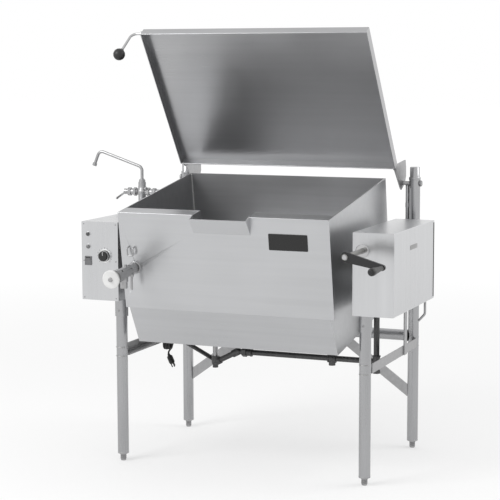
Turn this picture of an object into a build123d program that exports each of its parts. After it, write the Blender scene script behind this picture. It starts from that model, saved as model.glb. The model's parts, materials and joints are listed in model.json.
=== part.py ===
from build123d import *
import os
from math import asin, atan2, cos, degrees, pi, radians, sin, tan

# Tilting bratt pan: a covered pan on trunnions between two side housings, on a tube stand.
# Millimetres. X runs to the right, Y to the rear and Z up, from the floor. The plane x = 0
# lies midway between the legs.

# Stand
leg_out = 24.0
front_leg_y = -300.0
rear_leg_y = 285.0
leg_d = 41.3
leg_wall = 2.0
foot_h = 29.0
foot_d = 25.0
foot_neck_d = 20.0
foot_shoulder_t = 6.0
foot_flare_h = 8.0
foot_stem_h = 45.0
socket_d = 48.5
socket_h = 65.0
post_top = 1039.0
cap_top = 1079.0
cap_neck_l = 40.0
cap_clearance = 0.05
cap_chamfer = 2.0
rail_z = 395.0
rail_h = 35.0
rail_w = 40.0
rail_t = 4.0
crossbeam_z = 435.0
brace_low_z = 206.0
brace_run = 315.0
brace_w = 38.0
brace_t = 6.0
strut_back = 17.0
strut_w = 30.0
strut_t = 5.0

# Side housings, mirror images: the console on the left and the gearbox on the right
housing_gap = 51.0
housing_w = 148.0
housing_front = -371.0
housing_depth = 493.0
housing_z = 610.0
housing_h = 288.0
housing_t = 2.0
housing_edge_r = 3.0
panel_lip = 12.0
housing_hole_gap = 3.0

# Pan outline, as it stands at rest
rim_y = -470.0
rim_z = 947.0
pan_w = 794.0
pan_d = 635.0
rim_slope = 8.7
face_l = 354.0
face_lean = 9.6
rear_wall_l = 417.0
chin_l = 157.0
chin_lean = 29.4
belly_rise = 9.5
tail_y = 170.0
jacket_t = 2.0
shroud_inset = 13.0
shroud_lap = 14.0
vent_slot_w = 60.0
vent_slot_l = 260.0
vent_slots = 5

# Cooking vessel
ledge = 65.0
vessel_t = 3.0
plate_z = 745.0
plate_t = 12.0
lip_half_w = 104.0
lip_drop = 65.0
lip_out = 30.0
lip_low = 8.0
burner_d = 38.0
burner_count = 3
burner_drop = 96.0
burner_l = 640.0
burner_wall = 2.0
burner_cap_t = 4.0
hanger_w = 24.0

# Tilting gear
tilt_y = -140.0
tilt_z = 761.0
trunnion_d = 40.0
trunnion_reach = 64.0
trunnion_flange_d = 110.0
trunnion_flange_t = 8.0
flange_bolt_across = 13.0
flange_bolt_h = 6.0
flange_bolt_in = 12.0
bearing_w = 100.0
bearing_t = 24.0
bearing_corner_r = 14.0
running = 0.05
pressed = 0.02
wheel_teeth = 40
gear_module = 3.0
wheel_face = 12.0
wheel_hub_w = 19.0
wheel_hub_wall = 12.0
wheel_in = 36.0
wheel_hole_r = 42.0
wheel_hole_d = 14.0
pressure_angle = 20.0
wheel_addendum = 0.85
worm_addendum = 0.9
dedendum = 1.2
worm_pitch_r = 15.0
worm_turns = 5
backlash = 1.8
worm_shaft_d = 18.0
worm_bearing_w = 44.0
worm_bearing_t = 20.0
worm_bearing_gap = 62.0
crank_reach = 185.0
crank_screw_across = 17.0
crank_screw_h = 7.0
crank_flange_d = 44.0
crank_flange_t = 9.0
crank_hub_l = 22.0
crank_arm_l = 131.0
crank_arm_drop = 13.2
crank_arm_t = 12.0
crank_arm_wide = 34.0
crank_arm_narrow = 20.0
grip_l = 118.0
grip_d = 27.0
grip_pin_d = 10.0
grip_pin_head_d = 14.0
grip_pin_head_t = 3.0

# Lid, as it stands open at rest
hinge_y = 186.0
hinge_z = 1080.0
lid_over = 39.0
lid_l = 605.0
lid_skirt = 35.0
lid_t = 2.0
lid_open = 55.2
lid_back_y = 150.0
lid_back_z = 1078.0
hinge_pin_d = 12.0
hinge_gap = 1.0
bracket_t = 5.0
bracket_front = 37.0
bracket_rear = 32.0
bracket_low = 24.0
bracket_high = 86.0
bracket_shoulder = 25.0
spacer_d = 16.0
bolt_across = 19.0
bolt_head_h = 7.0
washer_d = 24.0
washer_t = 2.5
nut_across = 17.0
ear_r = 14.0
ear_t = 4.0
bracket_bolt_z = 1017.0
spring_tube_d = 14.0
spring_tube_l = 330.0
spring_clip_h = 16.0
spring_clip_w = 10.0
spring_gap = 1.0
lid_rod_d = 9.5
lid_rod_out = 42.0
lid_rod_l = 112.0
lid_rod_bend = 22.0
lid_knob_d = 44.0

# Console controls, as distances from the console's inner edge and its underside
knob_in = 54.0
knob_up = 164.0
knob_d = 42.0
knob_l = 13.0
bezel_d = 52.0
bezel_t = 5.0
thermostat_d = 58.0
thermostat_l = 60.0
knob_shaft_d = 8.0
light_d = 14.0
light_in = 121.0
light_top_up = 242.0
light_low_up = 196.0
switch_up = 144.0
switch_w = 27.0
switch_h = 33.0
switch_rim = 3.0
switch_depth = 30.0
switch_recess = 14.0
switch_wall = 2.0
switch_pin_d = 4.0
switch_pivot_in = 4.0
rocker_turn = 14.0
rocker_depth = 8.5
rocker_dish = 1.5
rocker_side_gap = 0.6
rocker_end_gap = 1.3
contactor_size = 80.0
terminal_w = 16.0
terminal_l = 65.0
terminal_h = 8.0
module_w = 60.0
module_l = 100.0
module_h = 130.0
module_back = 42.0
module_port_d = 16.0
module_port_l = 12.0
unit_gap = 50.0

# Draw-off valve on the pan front
valve_in = 52.0
valve_up = 153.0
valve_drop = 6.0
drain_pipe_d = 27.0
drain_bore = 19.0
drain_pipe_l = 64.0
pipe_hole_gap = 1.0
union_across = 36.0
union_l = 12.0
union_gap = 4.0
collar_d = 46.0
collar_t = 9.0
valve_body_d = 40.0
valve_body_l = 62.0
valve_bonnet_d = 47.0
valve_bonnet_l = 34.0
outlet_d = 26.0
outlet_in = 29.0
outlet_l = 54.0
outlet_wall = 3.0
outlet_neck_d = 31.0
spigot_l = 24.0
wing_w = 8.0
wing_rise = 7.0
wing_t = 10.0
stem_d = 9.0
stem_l = 40.0
handwheel_d = 65.0
handwheel_t = 9.0
plunger_travel = 10.0
hook_rise = 46.0
hook_w = 22.0
hook_wire = 5.0
hook_out = 14.0
hook_l = 28.0
hook_side = 9.0
hook_bend = 6.0
cock_out = 32.0
tee_d = 34.0
tee_l = 26.0
cock_neck_d = 15.0
cock_neck_l = 26.0
cock_l = 74.0
cock_d = 9.0
cock_bore = 5.0

# Plain badge plate on the pan front
badge_in = 152.0
badge_down = 85.0
badge_w = 142.0
badge_h = 58.0
badge_t = 2.0
badge_corner_r = 3.0

# Water faucet on the console
faucet_in = 112.0
faucet_back = 62.0
faucet_body_z = 972.0
faucet_body_d = 40.0
faucet_arm_d = 24.0
faucet_reach = 74.0
faucet_base_d = 50.0
faucet_base_t = 6.0
faucet_neck_d = 31.0
faucet_shank_l = 45.0
faucet_nut_across = 36.0
faucet_nut_t = 8.0
faucet_ring_up = 22.0
faucet_ring_h = 16.0
faucet_ring_d = 30.0
bonnet_across = 30.0
bonnet_in = 24.0
bonnet_w = 10.0
cap_across = 28.0
cap_w = 14.0
spout_d = 16.0
spout_h = 96.0
spout_l = 184.0
spout_rise = 61.0
spout_drop = 50.0
spout_kick = 20.0
spout_bend = 20.0
spout_tube_d = 12.0
spout_nut_d = 24.0
spout_seat = 0.3
aerator_l = 10.0
lever_l = 44.0
lever_hub_d = 22.0
lever_hub_l = 15.6
lever_gap = 0.4
lever_d = 8.0
lever_ball_d = 10.0

# Gas line under the pan
gas_d = 21.3
gas_z = 382.0
gas_right_gap = 31.0
gas_x_left = -133.0
gas_low_x = -227.0
gas_low_z = 334.0
gas_tee_x = 245.0
gas_drip_z = 350.0
gas_in_z = 650.0
gas_console_in = 22.0
gas_console_back = 62.0
gas_console_z = 436.0
tap_top_z = 402.0
fitting_d = 29.0
vent_tube_d = 9.0
vent_tube_in = 26.0
vent_tube_back = 22.0
vent_tube_l = 58.0
vent_tube_kick = 24.0
vent_tube_bend = 18.0

# Power cord: its points run from the console's inner side down to the hank and on to the plug
cord_d = 7.0
cord_exit_y = -2.0
cord_exit_z = 636.0
cord_x = -424.0
gland_d = 16.0
gland_l = 9.0
hank_w = 48.0
hank_l = 176.0
hank_t = 36.0
hank_top = 546.0
plug_l = 30.0
plug_d = 22.0
cord_points = [(-439.0, -2.0, 636.0), (-430.0, -2.0, 636.0), (-424.0, -2.0, 629.0), (-423.3, -2.4, 614.0),
               (-424.4, -1.8, 592.0), (-424.0, -2.0, 569.0), (-424.0, -2.0, 546.0)]
tail_points = [(-424.0, -2.0, 370.0), (-424.0, -2.0, 361.0), (-422.5, -4.0, 352.0), (-417.0, -8.0, 345.0)]


def box(x0, x1, y0, y1, z0, z1):
    """A block between two corners."""
    return Pos((x0 + x1) / 2, (y0 + y1) / 2, (z0 + z1) / 2) * Box(abs(x1 - x0), abs(y1 - y0), abs(z1 - z0))


def rod(start, end, diameter):
    """A round bar from one point to another."""
    line = Vector(*end) - Vector(*start)
    return extrude(Plane(origin=start, z_dir=line) * Circle(diameter / 2), amount=line.length)


def pipe(start, end, diameter, bore):
    """A straight tube from one point to another."""
    return rod(start, end, diameter) - rod(start, end, bore)


def hexagon(start, end, across):
    """A hexagonal nut body from one point to another."""
    line = Vector(*end) - Vector(*start)
    return extrude(Plane(origin=start, z_dir=line) * RegularPolygon(across / 2, 6, major_radius=False),
                   amount=line.length)


def slab(outline, x0, x1):
    """A flat shape drawn in the YZ plane and made solid from x0 to x1."""
    face = make_face(Polyline(*[(x0, y, z) for y, z in outline], close=True))
    return extrude(face, amount=x1 - x0, dir=(1, 0, 0))


def bent(points, diameter, bend):
    """A round bar along a route with rounded corners."""
    path = FilletPolyline(*points, radius=bend)
    return sweep(Plane(origin=path @ 0, z_dir=path % 0) * Circle(diameter / 2), path=path)


def step_along(point, angle, length):
    """A point in the YZ plane, a length away at an angle from +Y towards +Z."""
    return (point[0] + length * cos(radians(angle)), point[1] + length * sin(radians(angle)))


def mirrored(solid):
    """The same piece on the other side of the machine."""
    return mirror(solid, about=Plane.YZ)


def group(*pieces):
    """Separate solids that share one node."""
    return Compound([solid for piece in pieces for solid in piece.solids()])


def both_sides(solid):
    """A piece and its mirror image, as separate solids."""
    return group(solid, mirrored(solid))


# Corners of the pan seen from the side
rim_front = (rim_y, rim_z)
rim_rear = step_along(rim_front, rim_slope, pan_d)
face_angle = face_lean - 90
face_foot = step_along(rim_front, face_angle, face_l)
chin_foot = step_along(face_foot, chin_lean - 90, chin_l)
rear_foot = step_along(rim_rear, face_angle, rear_wall_l)
tail_foot = (tail_y, chin_foot[1] + (tail_y - chin_foot[0]) * tan(radians(belly_rise)))
half_pan = pan_w / 2
face_normal = (-cos(radians(face_lean)), -sin(radians(face_lean)))

# Places that follow from the pan and the housings
housing_x = half_pan + housing_gap
housing_outer = housing_x + housing_w
housing_top = housing_z + housing_h
housing_rear = housing_front + housing_depth
leg_x = housing_x + leg_out
leg_r = leg_d / 2
wheel_x = housing_x + wheel_in
trunnion_end = housing_x + trunnion_reach
lid_w = pan_w + 2 * lid_over
valve_x = valve_in - half_pan
faucet_x = -housing_x - faucet_in
faucet_y = housing_rear - faucet_back
gas_x_right = housing_x - gas_right_gap
gas_console_x = -housing_x - gas_console_in
gas_console_y = housing_rear - gas_console_back
floor_z = plate_z - plate_t
burner_z = plate_z - burner_drop
parts = {}


def on_face(down, out=0.0):
    """A point of the pan's front face, a length below its top edge and a length in front of it."""
    point = step_along(rim_front, face_angle, down)
    return (point[0] + face_normal[0] * out, point[1] + face_normal[1] * out)


def on_rear(down, inward=0.0):
    """A point of the pan's rear wall, a length below its top edge and a length inside it."""
    point = step_along(rim_rear, face_angle, down)
    return (point[0] + face_normal[0] * inward, point[1] + face_normal[1] * inward)


vessel_corner = step_along(rim_front, rim_slope, ledge)
vessel_rear = on_rear(0, jacket_t + vessel_t)
vessel_wall_y = vessel_t / cos(radians(face_lean))
valve_ray = Vector(0, -cos(radians(valve_drop)), -sin(radians(valve_drop)))


def front_y(z):
    """Where the vessel's front wall stands inside, at a height."""
    return vessel_corner[0] + (vessel_corner[1] - z) * tan(radians(face_lean))


def rear_y(z):
    """Where the vessel's rear wall stands inside, at a height."""
    return vessel_rear[0] + (vessel_rear[1] - z) * tan(radians(face_lean))


def drain_at(distance):
    """A point on the draw-off line, a length in front of the pan's front face."""
    point = Vector(valve_x, *on_face(face_l - valve_up)) + valve_ray * distance
    return (point.X, point.Y, point.Z)


def make_stand():
    """Legs, feet, sockets, rails, braces and the posts that carry the lid."""
    def tube(x, y, z0, z1):
        return pipe((x, y, z0), (x, y, z1), leg_d, leg_d - 2 * leg_wall)

    bore = leg_d - 2 * leg_wall
    front = tube(leg_x, front_leg_y, foot_h, housing_z)
    post = tube(leg_x, rear_leg_y, foot_h, post_top)
    parts["front_right_leg"] = front
    parts["front_left_leg"] = mirrored(front)
    parts["rear_right_post"] = post
    parts["rear_left_post"] = mirrored(post)
    feet = []
    for y in (front_leg_y, rear_leg_y):
        base = (leg_x, y)
        toe = rod((*base, 0), (*base, foot_h - foot_shoulder_t), foot_neck_d)
        shoulder = rod((*base, foot_h - foot_shoulder_t), (*base, foot_h), foot_d)
        flare = Pos(leg_x, y, foot_flare_h / 2) * Cone(foot_d / 2 - 4, foot_d / 2 - 1, foot_flare_h)
        stem = rod((*base, foot_h), (*base, foot_h + foot_stem_h), bore)
        feet.append(both_sides(chamfer((toe + flare + shoulder).edges().group_by(Axis.Z)[0], 1) + stem))
    parts["leveling_feet"] = group(*feet)
    socket = pipe((leg_x, front_leg_y, housing_z - socket_h), (leg_x, front_leg_y, housing_z), socket_d, leg_d)
    parts["leg_sockets"] = both_sides(socket)
    outer = leg_x + rail_w / 2
    rail_y0 = front_leg_y + leg_r
    rail_y1 = rear_leg_y - leg_r
    rail = box(outer - rail_t, outer, rail_y0, rail_y1, rail_z, rail_z + rail_h)
    rail += box(outer - rail_w, outer - rail_t, rail_y0, rail_y1, rail_z, rail_z + rail_t)
    for y in (front_leg_y, rear_leg_y):
        rail -= rod((leg_x, y, rail_z - 1), (leg_x, y, rail_z + rail_h + 1), leg_d)
    parts["side_rails"] = both_sides(rail)
    beam = rod((leg_r - leg_x, rear_leg_y, crossbeam_z), (leg_x - leg_r, rear_leg_y, crossbeam_z), leg_d)
    beam -= rod((leg_r - leg_x, rear_leg_y, crossbeam_z), (leg_x - leg_r, rear_leg_y, crossbeam_z), bore)
    parts["rear_crossbeam"] = beam
    run = Vector(brace_run, 0, brace_low_z - crossbeam_z)
    centre = (leg_x - brace_run / 2, rear_leg_y, (brace_low_z + crossbeam_z) / 2)
    brace = Plane(origin=centre, x_dir=run, z_dir=(0, 1, 0)) * Box(run.length, brace_w, brace_t)
    brace -= rod((leg_x, rear_leg_y, 0), (leg_x, rear_leg_y, crossbeam_z), leg_d)
    brace -= rod((0, rear_leg_y, crossbeam_z), (leg_x, rear_leg_y, crossbeam_z), leg_d)
    brace -= box(0, leg_x, rear_leg_y - brace_t, rear_leg_y + brace_t, crossbeam_z, crossbeam_z + brace_w)
    brace -= box(leg_x, leg_x + brace_w, rear_leg_y - brace_t, rear_leg_y + brace_t, 0, crossbeam_z)
    parts["knee_braces"] = both_sides(brace)
    strut_y = housing_rear - strut_back
    strut = box(outer, outer + strut_t, strut_y - strut_w / 2, strut_y + strut_w / 2, rail_z, housing_z)
    parts["rail_struts"] = both_sides(strut)
    cap_foot = (leg_x, rear_leg_y, post_top - cap_neck_l)
    cap = rod(cap_foot, (leg_x, rear_leg_y, cap_top), bore - 2 * cap_clearance)
    cap = chamfer(cap.edges().group_by(Axis.Z)[-1], cap_chamfer)
    parts["post_caps"] = both_sides(cap)


def housing_box():
    """The gearbox housing's outer block."""
    return box(housing_x, housing_outer, housing_front, housing_rear, housing_z, housing_top)


def trunnion_hole():
    """The hole in a housing's inner side that a trunnion passes through."""
    return rod((housing_x - 1, tilt_y, tilt_z), (housing_x + housing_t + 1, tilt_y, tilt_z),
               trunnion_d + 2 * housing_hole_gap)


def make_console():
    """The control console on the left, with its thermostat, lamps, switch and inner units."""
    hollow = box(housing_x + housing_t, housing_outer - housing_t, housing_front - 1,
                 housing_rear - housing_t, housing_z + housing_t, housing_top - housing_t)
    shell = housing_box() - hollow
    outer_edges = shell.edges().filter_by(Axis.Y).filter_by_position(Axis.X, housing_outer - 1, housing_outer + 1)
    shell = fillet(outer_edges, housing_edge_r)
    shell = mirrored(shell - trunnion_hole())
    shell -= rod((faucet_x, faucet_y, housing_top - 5), (faucet_x, faucet_y, housing_top + 5), faucet_arm_d)
    shell -= rod((-housing_x - 5, cord_exit_y, cord_exit_z), (-housing_x + 5, cord_exit_y, cord_exit_z), gland_d)
    parts["console_shell"] = shell
    knob_x = -housing_x - knob_in
    knob_z = housing_z + knob_up
    light_x = -housing_x - light_in
    face_y = housing_front
    back_y = housing_front + housing_t
    panel = box(-housing_outer + housing_t, -housing_x - housing_t, face_y, back_y,
                housing_z + housing_t, housing_top - housing_t)
    for z in (housing_z + housing_t, housing_top - 2 * housing_t):
        panel += box(-housing_outer + housing_t, -housing_x - housing_t, back_y, back_y + panel_lip, z, z + housing_t)
    panel -= rod((knob_x, face_y - 1, knob_z), (knob_x, back_y + 1, knob_z), knob_shaft_d + 2)
    lamps = []
    for up in (light_top_up, light_low_up):
        z = housing_z + up
        panel -= rod((light_x, face_y - 1, z), (light_x, back_y + 1, z), light_d - 4)
        body = rod((light_x, face_y, z), (light_x, face_y + 28, z), light_d - 4)
        lens = rod((light_x, face_y - 6, z), (light_x, face_y, z), light_d)
        lamps.append(body + fillet(lens.edges().group_by(Axis.Y)[0], 2.5))
    parts["pilot_lights"] = group(*lamps)
    switch_z = housing_z + switch_up
    half_w = switch_w / 2
    half_h = switch_h / 2
    body_w = half_w - switch_wall
    body_h = half_h - switch_wall
    well_w = body_w - switch_wall
    well_h = body_h - switch_wall
    pivot_y = face_y + switch_pivot_in
    panel -= box(light_x - body_w, light_x + body_w, face_y - 1, back_y + 1, switch_z - body_h, switch_z + body_h)
    frame = box(light_x - half_w, light_x + half_w, face_y - switch_rim, face_y, switch_z - half_h, switch_z + half_h)
    frame += box(light_x - body_w, light_x + body_w, face_y, face_y + switch_depth,
                 switch_z - body_h, switch_z + body_h)
    frame -= box(light_x - well_w, light_x + well_w, face_y - switch_rim - 1, face_y + switch_recess,
                 switch_z - well_h, switch_z + well_h)
    pin_end = well_w + switch_wall / 2
    frame -= rod((light_x - pin_end - running, pivot_y, switch_z), (light_x + pin_end + running, pivot_y, switch_z),
                 switch_pin_d + 2 * running)
    parts["switch_body"] = frame
    edge_z = well_h - rocker_end_gap
    inner_z = edge_z - rocker_dish
    rocker = slab([(-rocker_depth, -edge_z), (rocker_dish - rocker_depth, 0), (-rocker_depth, edge_z),
                   (switch_pin_d, inner_z), (switch_pin_d, -inner_z)],
                  rocker_side_gap - well_w, well_w - rocker_side_gap)
    rocker += rod((-pin_end, 0, 0), (pin_end, 0, 0), switch_pin_d)
    parts["switch_rocker"] = Pos(light_x, pivot_y, switch_z) * Rot(rocker_turn / 2, 0, 0) * rocker
    parts["console_front_panel"] = panel
    bezel = rod((knob_x, face_y - bezel_t, knob_z), (knob_x, face_y, knob_z), bezel_d)
    bezel = chamfer(bezel.edges().group_by(Axis.Y)[0], 2)
    bezel -= rod((knob_x, face_y - bezel_t - 1, knob_z), (knob_x, face_y + 1, knob_z), knob_shaft_d + 2)
    parts["thermostat_bezel"] = bezel
    unit = rod((knob_x, back_y, knob_z), (knob_x, back_y + thermostat_l, knob_z), thermostat_d)
    unit -= rod((knob_x, face_y, knob_z), (knob_x, back_y + thermostat_l / 2, knob_z), knob_shaft_d + 2 * running)
    parts["thermostat_body"] = unit
    knob_y = face_y - bezel_t - 0.5
    knob = rod((knob_x, knob_y - 5, knob_z), (knob_x, knob_y, knob_z), knob_d)
    grip = rod((knob_x, knob_y - knob_l, knob_z), (knob_x, knob_y - 5, knob_z), knob_d - 6)
    knob += chamfer(grip.edges().group_by(Axis.Y)[0], 2)
    for i in range(8):
        angle = 2 * pi * i / 8
        flute = (knob_x + (knob_d / 2 + 1) * cos(angle), knob_z + (knob_d / 2 + 1) * sin(angle))
        knob -= rod((flute[0], knob_y - knob_l - 1, flute[1]), (flute[0], knob_y - 5, flute[1]), 11)
    shaft = rod((knob_x, knob_y, knob_z), (knob_x, back_y + thermostat_l / 2 - 2, knob_z), knob_shaft_d)
    parts["thermostat_knob"] = knob + shaft
    far_x = -housing_outer + housing_t
    shelf_z = housing_z + housing_t
    module_y = housing_rear - module_back - module_l
    module = box(far_x, far_x + module_w, module_y, module_y + module_l, shelf_z, shelf_z + module_h)
    port_y = module_y + module_l / 2
    port_z = shelf_z + module_h - 2 * module_port_d
    module += rod((far_x + module_w, port_y, port_z), (far_x + module_w + module_port_l, port_y, port_z), module_port_d)
    parts["ignition_module"] = module
    relay_y = module_y - unit_gap - contactor_size
    relay_top = shelf_z + contactor_size
    contactor = box(far_x, far_x + contactor_size, relay_y, relay_y + contactor_size, shelf_z, relay_top)
    inset = (contactor_size - terminal_l) / 2
    for i in range(3):
        x = far_x + contactor_size * (i + 0.5) / 3
        contactor += box(x - terminal_w / 2, x + terminal_w / 2, relay_y + inset, relay_y + contactor_size - inset,
                         relay_top, relay_top + terminal_h)
    parts["contactor"] = contactor
    gland = rod((-housing_x - 8, cord_exit_y, cord_exit_z), (-housing_x, cord_exit_y, cord_exit_z), gland_d)
    gland += Plane(origin=(-housing_x + gland_l / 2, cord_exit_y, cord_exit_z),
                   z_dir=(1, 0, 0)) * Cone(gland_d / 2, cord_d / 2 + 1.5, gland_l)
    parts["cord_gland"] = gland


def make_gearbox():
    """The right housing, the worm and its wheel, the bearings and the crank."""
    hollow = box(housing_x + housing_t, housing_outer - housing_t, housing_front + housing_t,
                 housing_rear + 1, housing_z + housing_t, housing_top - housing_t)
    worm_z = tilt_z + worm_pitch_r + gear_module * wheel_teeth / 2
    shell = housing_box() - hollow
    shell -= trunnion_hole()
    seat_d = worm_shaft_d + 8
    shell -= rod((wheel_x, housing_front - 1, worm_z), (wheel_x, housing_front + housing_t + 1, worm_z), seat_d)
    outer_edges = shell.edges().filter_by(Axis.Y).filter_by_position(Axis.X, housing_outer - 1, housing_outer + 1)
    parts["gearbox_shell"] = fillet(outer_edges, housing_edge_r)
    cover = box(housing_x + housing_t, housing_outer - housing_t, housing_rear - housing_t, housing_rear,
                housing_z + housing_t, housing_top - housing_t)
    for z in (housing_z + housing_t, housing_top - 2 * housing_t):
        cover += box(housing_x + housing_t, housing_outer - housing_t, housing_rear - housing_t - panel_lip,
                     housing_rear - housing_t, z, z + housing_t)
    parts["gearbox_rear_cover"] = cover
    inner = housing_x + housing_t
    block = box(inner, inner + bearing_t, tilt_y - bearing_w / 2, tilt_y + bearing_w / 2,
                tilt_z - bearing_w / 2, tilt_z + bearing_w / 2)
    block = fillet(block.edges().filter_by(Axis.X), bearing_corner_r)
    block -= rod((inner - 1, tilt_y, tilt_z), (inner + bearing_t + 1, tilt_y, tilt_z), trunnion_d + 2 * running)
    parts["trunnion_bearings"] = both_sides(block)
    start = half_pan
    axle = rod((start, tilt_y, tilt_z), (trunnion_end, tilt_y, tilt_z), trunnion_d)
    axle += rod((start, tilt_y, tilt_z), (start + trunnion_flange_t, tilt_y, tilt_z), trunnion_flange_d)
    for i in range(4):
        angle = pi / 4 + i * pi / 2
        y = tilt_y + (trunnion_flange_d / 2 - flange_bolt_in) * cos(angle)
        z = tilt_z + (trunnion_flange_d / 2 - flange_bolt_in) * sin(angle)
        head_x = start + trunnion_flange_t
        axle += hexagon((head_x, y, z), (head_x + flange_bolt_h, y, z), flange_bolt_across)
    parts["trunnions"] = both_sides(axle)

    pitch_r = gear_module * wheel_teeth / 2
    root_r = pitch_r - dedendum * gear_module
    tip_r = pitch_r + wheel_addendum * gear_module
    worm_lead = pi * gear_module
    lead_angle = degrees(atan2(worm_lead, 2 * pi * worm_pitch_r))
    half_tooth = (worm_lead / 2 - backlash / 2) / 2
    slope = tan(radians(pressure_angle))
    wheel = rod((wheel_x - wheel_face / 2, tilt_y, tilt_z), (wheel_x + wheel_face / 2, tilt_y, tilt_z), 2 * root_r)
    wheel += rod((wheel_x - wheel_hub_w / 2, tilt_y, tilt_z), (wheel_x + wheel_hub_w / 2, tilt_y, tilt_z),
                 trunnion_d + 2 * wheel_hub_wall)
    foot = half_tooth + (pitch_r - root_r) * slope + 0.2
    tip = half_tooth - (tip_r - pitch_r) * slope
    outline = [(-foot, root_r - 1.5), (-tip, tip_r), (tip, tip_r), (foot, root_r - 1.5)]
    tooth = slab(outline, -wheel_face / 2, wheel_face / 2)
    tooth = Rot(0, 0, lead_angle) * tooth
    teeth = [Pos(wheel_x, tilt_y, tilt_z) * Rot(360 * i / wheel_teeth, 0, 0) * tooth for i in range(wheel_teeth)]
    wheel = wheel.fuse(*[t.solids()[0] for t in teeth])
    wheel -= rod((wheel_x - wheel_face - 1, tilt_y, tilt_z), (wheel_x + wheel_face + 1, tilt_y, tilt_z),
                 trunnion_d + 2 * pressed)
    for i in range(5):
        angle = 2 * pi * i / 5
        y = tilt_y + wheel_hole_r * cos(angle)
        z = tilt_z + wheel_hole_r * sin(angle)
        wheel -= rod((wheel_x - wheel_face, y, z), (wheel_x + wheel_face, y, z), wheel_hole_d)
    parts["worm_wheel"] = wheel

    worm_root = worm_pitch_r - dedendum * gear_module
    worm_tip = worm_pitch_r + worm_addendum * gear_module
    worm_l = worm_turns * worm_lead
    worm_y0 = tilt_y - worm_l / 2
    axis = Plane(origin=(wheel_x, worm_y0, worm_z), x_dir=(0, 0, -1), z_dir=(0, 1, 0))
    coil = Helix(pitch=worm_lead, height=worm_l, radius=worm_pitch_r)
    worm_foot = half_tooth + (worm_pitch_r - worm_root + 0.4) * slope
    worm_crest = half_tooth - (worm_tip - worm_pitch_r) * slope
    section = make_face(Polyline((worm_root - 0.4, 0, -worm_foot), (worm_tip, 0, -worm_crest),
                                 (worm_tip, 0, worm_crest), (worm_root - 0.4, 0, worm_foot), close=True))
    thread = axis.location * sweep(section, path=coil, is_frenet=True)
    hub_y = housing_front - crank_reach
    bearing_rear = tilt_y + worm_bearing_gap + worm_bearing_t
    shaft = rod((wheel_x, hub_y, worm_z), (wheel_x, bearing_rear, worm_z), worm_shaft_d)
    core = rod((wheel_x, worm_y0 - worm_lead, worm_z), (wheel_x, worm_y0 + worm_l + worm_lead, worm_z), 2 * worm_root)
    worm = shaft + core + thread
    worm += hexagon((wheel_x, hub_y - crank_screw_h, worm_z), (wheel_x, hub_y, worm_z), crank_screw_across)
    parts["worm_shaft"] = worm
    seats = []
    for y in (tilt_y - worm_bearing_gap - worm_bearing_t, tilt_y + worm_bearing_gap):
        seat = box(inner, wheel_x + worm_bearing_w / 2, y, y + worm_bearing_t,
                   worm_z - worm_bearing_w / 2, worm_z + worm_bearing_w / 2)
        seat -= rod((wheel_x, y - 1, worm_z), (wheel_x, y + worm_bearing_t + 1, worm_z), worm_shaft_d + 2 * running)
        seats.append(seat)
    flange_y = housing_front - crank_flange_t
    bush_y = housing_front + housing_t + 10
    collar = rod((wheel_x, flange_y, worm_z), (wheel_x, housing_front, worm_z), crank_flange_d)
    collar = chamfer(collar.edges().group_by(Axis.Y)[0], 2)
    collar += rod((wheel_x, housing_front, worm_z), (wheel_x, bush_y, worm_z), seat_d)
    collar -= rod((wheel_x, flange_y - 1, worm_z), (wheel_x, bush_y + 1, worm_z), worm_shaft_d + 2 * running)
    parts["worm_bearings"] = group(*seats, collar)

    arm_y0 = hub_y
    arm_y1 = hub_y + crank_arm_t
    end_x = wheel_x + crank_arm_l * cos(radians(crank_arm_drop))
    end_z = worm_z - crank_arm_l * sin(radians(crank_arm_drop))
    arm_plane = Plane(origin=(wheel_x, arm_y0, worm_z), x_dir=(end_x - wheel_x, 0, end_z - worm_z), z_dir=(0, 1, 0))
    side = asin((crank_arm_wide - crank_arm_narrow) / 2 / crank_arm_l)
    wide = crank_arm_wide / 2
    thin = crank_arm_narrow / 2
    web = make_face(Polyline((wide * sin(side), wide * cos(side)),
                             (crank_arm_l + thin * sin(side), thin * cos(side)),
                             (crank_arm_l + thin * sin(side), -thin * cos(side)),
                             (wide * sin(side), -wide * cos(side)), close=True))
    arm = extrude(arm_plane * web, amount=crank_arm_t)
    arm += rod((wheel_x, arm_y0, worm_z), (wheel_x, arm_y0 + crank_hub_l, worm_z), crank_arm_wide)
    arm += rod((end_x, arm_y0, end_z), (end_x, arm_y1, end_z), crank_arm_narrow)
    arm -= rod((wheel_x, arm_y0 - 1, worm_z), (wheel_x, arm_y0 + crank_hub_l + 1, worm_z), worm_shaft_d + 2 * pressed)
    pin_y = arm_y0 - grip_l - 2
    arm += rod((end_x, pin_y, end_z), (end_x, arm_y0 + 1, end_z), grip_pin_d)
    arm += rod((end_x, pin_y - grip_pin_head_t, end_z), (end_x, pin_y, end_z), grip_pin_head_d)
    parts["crank_arm"] = arm
    profile = [(grip_pin_d / 2 + running, 0), (grip_d * 0.29, 0), (grip_d * 0.34, -grip_l * 0.35),
               (grip_d * 0.46, -grip_l * 0.75), (grip_d * 0.5, -grip_l * 0.88), (grip_d * 0.42, -grip_l * 0.97),
               (grip_d * 0.3, -grip_l), (grip_pin_d / 2 + running, -grip_l)]
    grip = revolve(make_face(Polyline(*profile, close=True)), axis=Axis.Y)
    parts["crank_grip"] = Pos(end_x, arm_y0 - 0.5, end_z) * grip
    return worm_z, end_x, end_z


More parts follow.
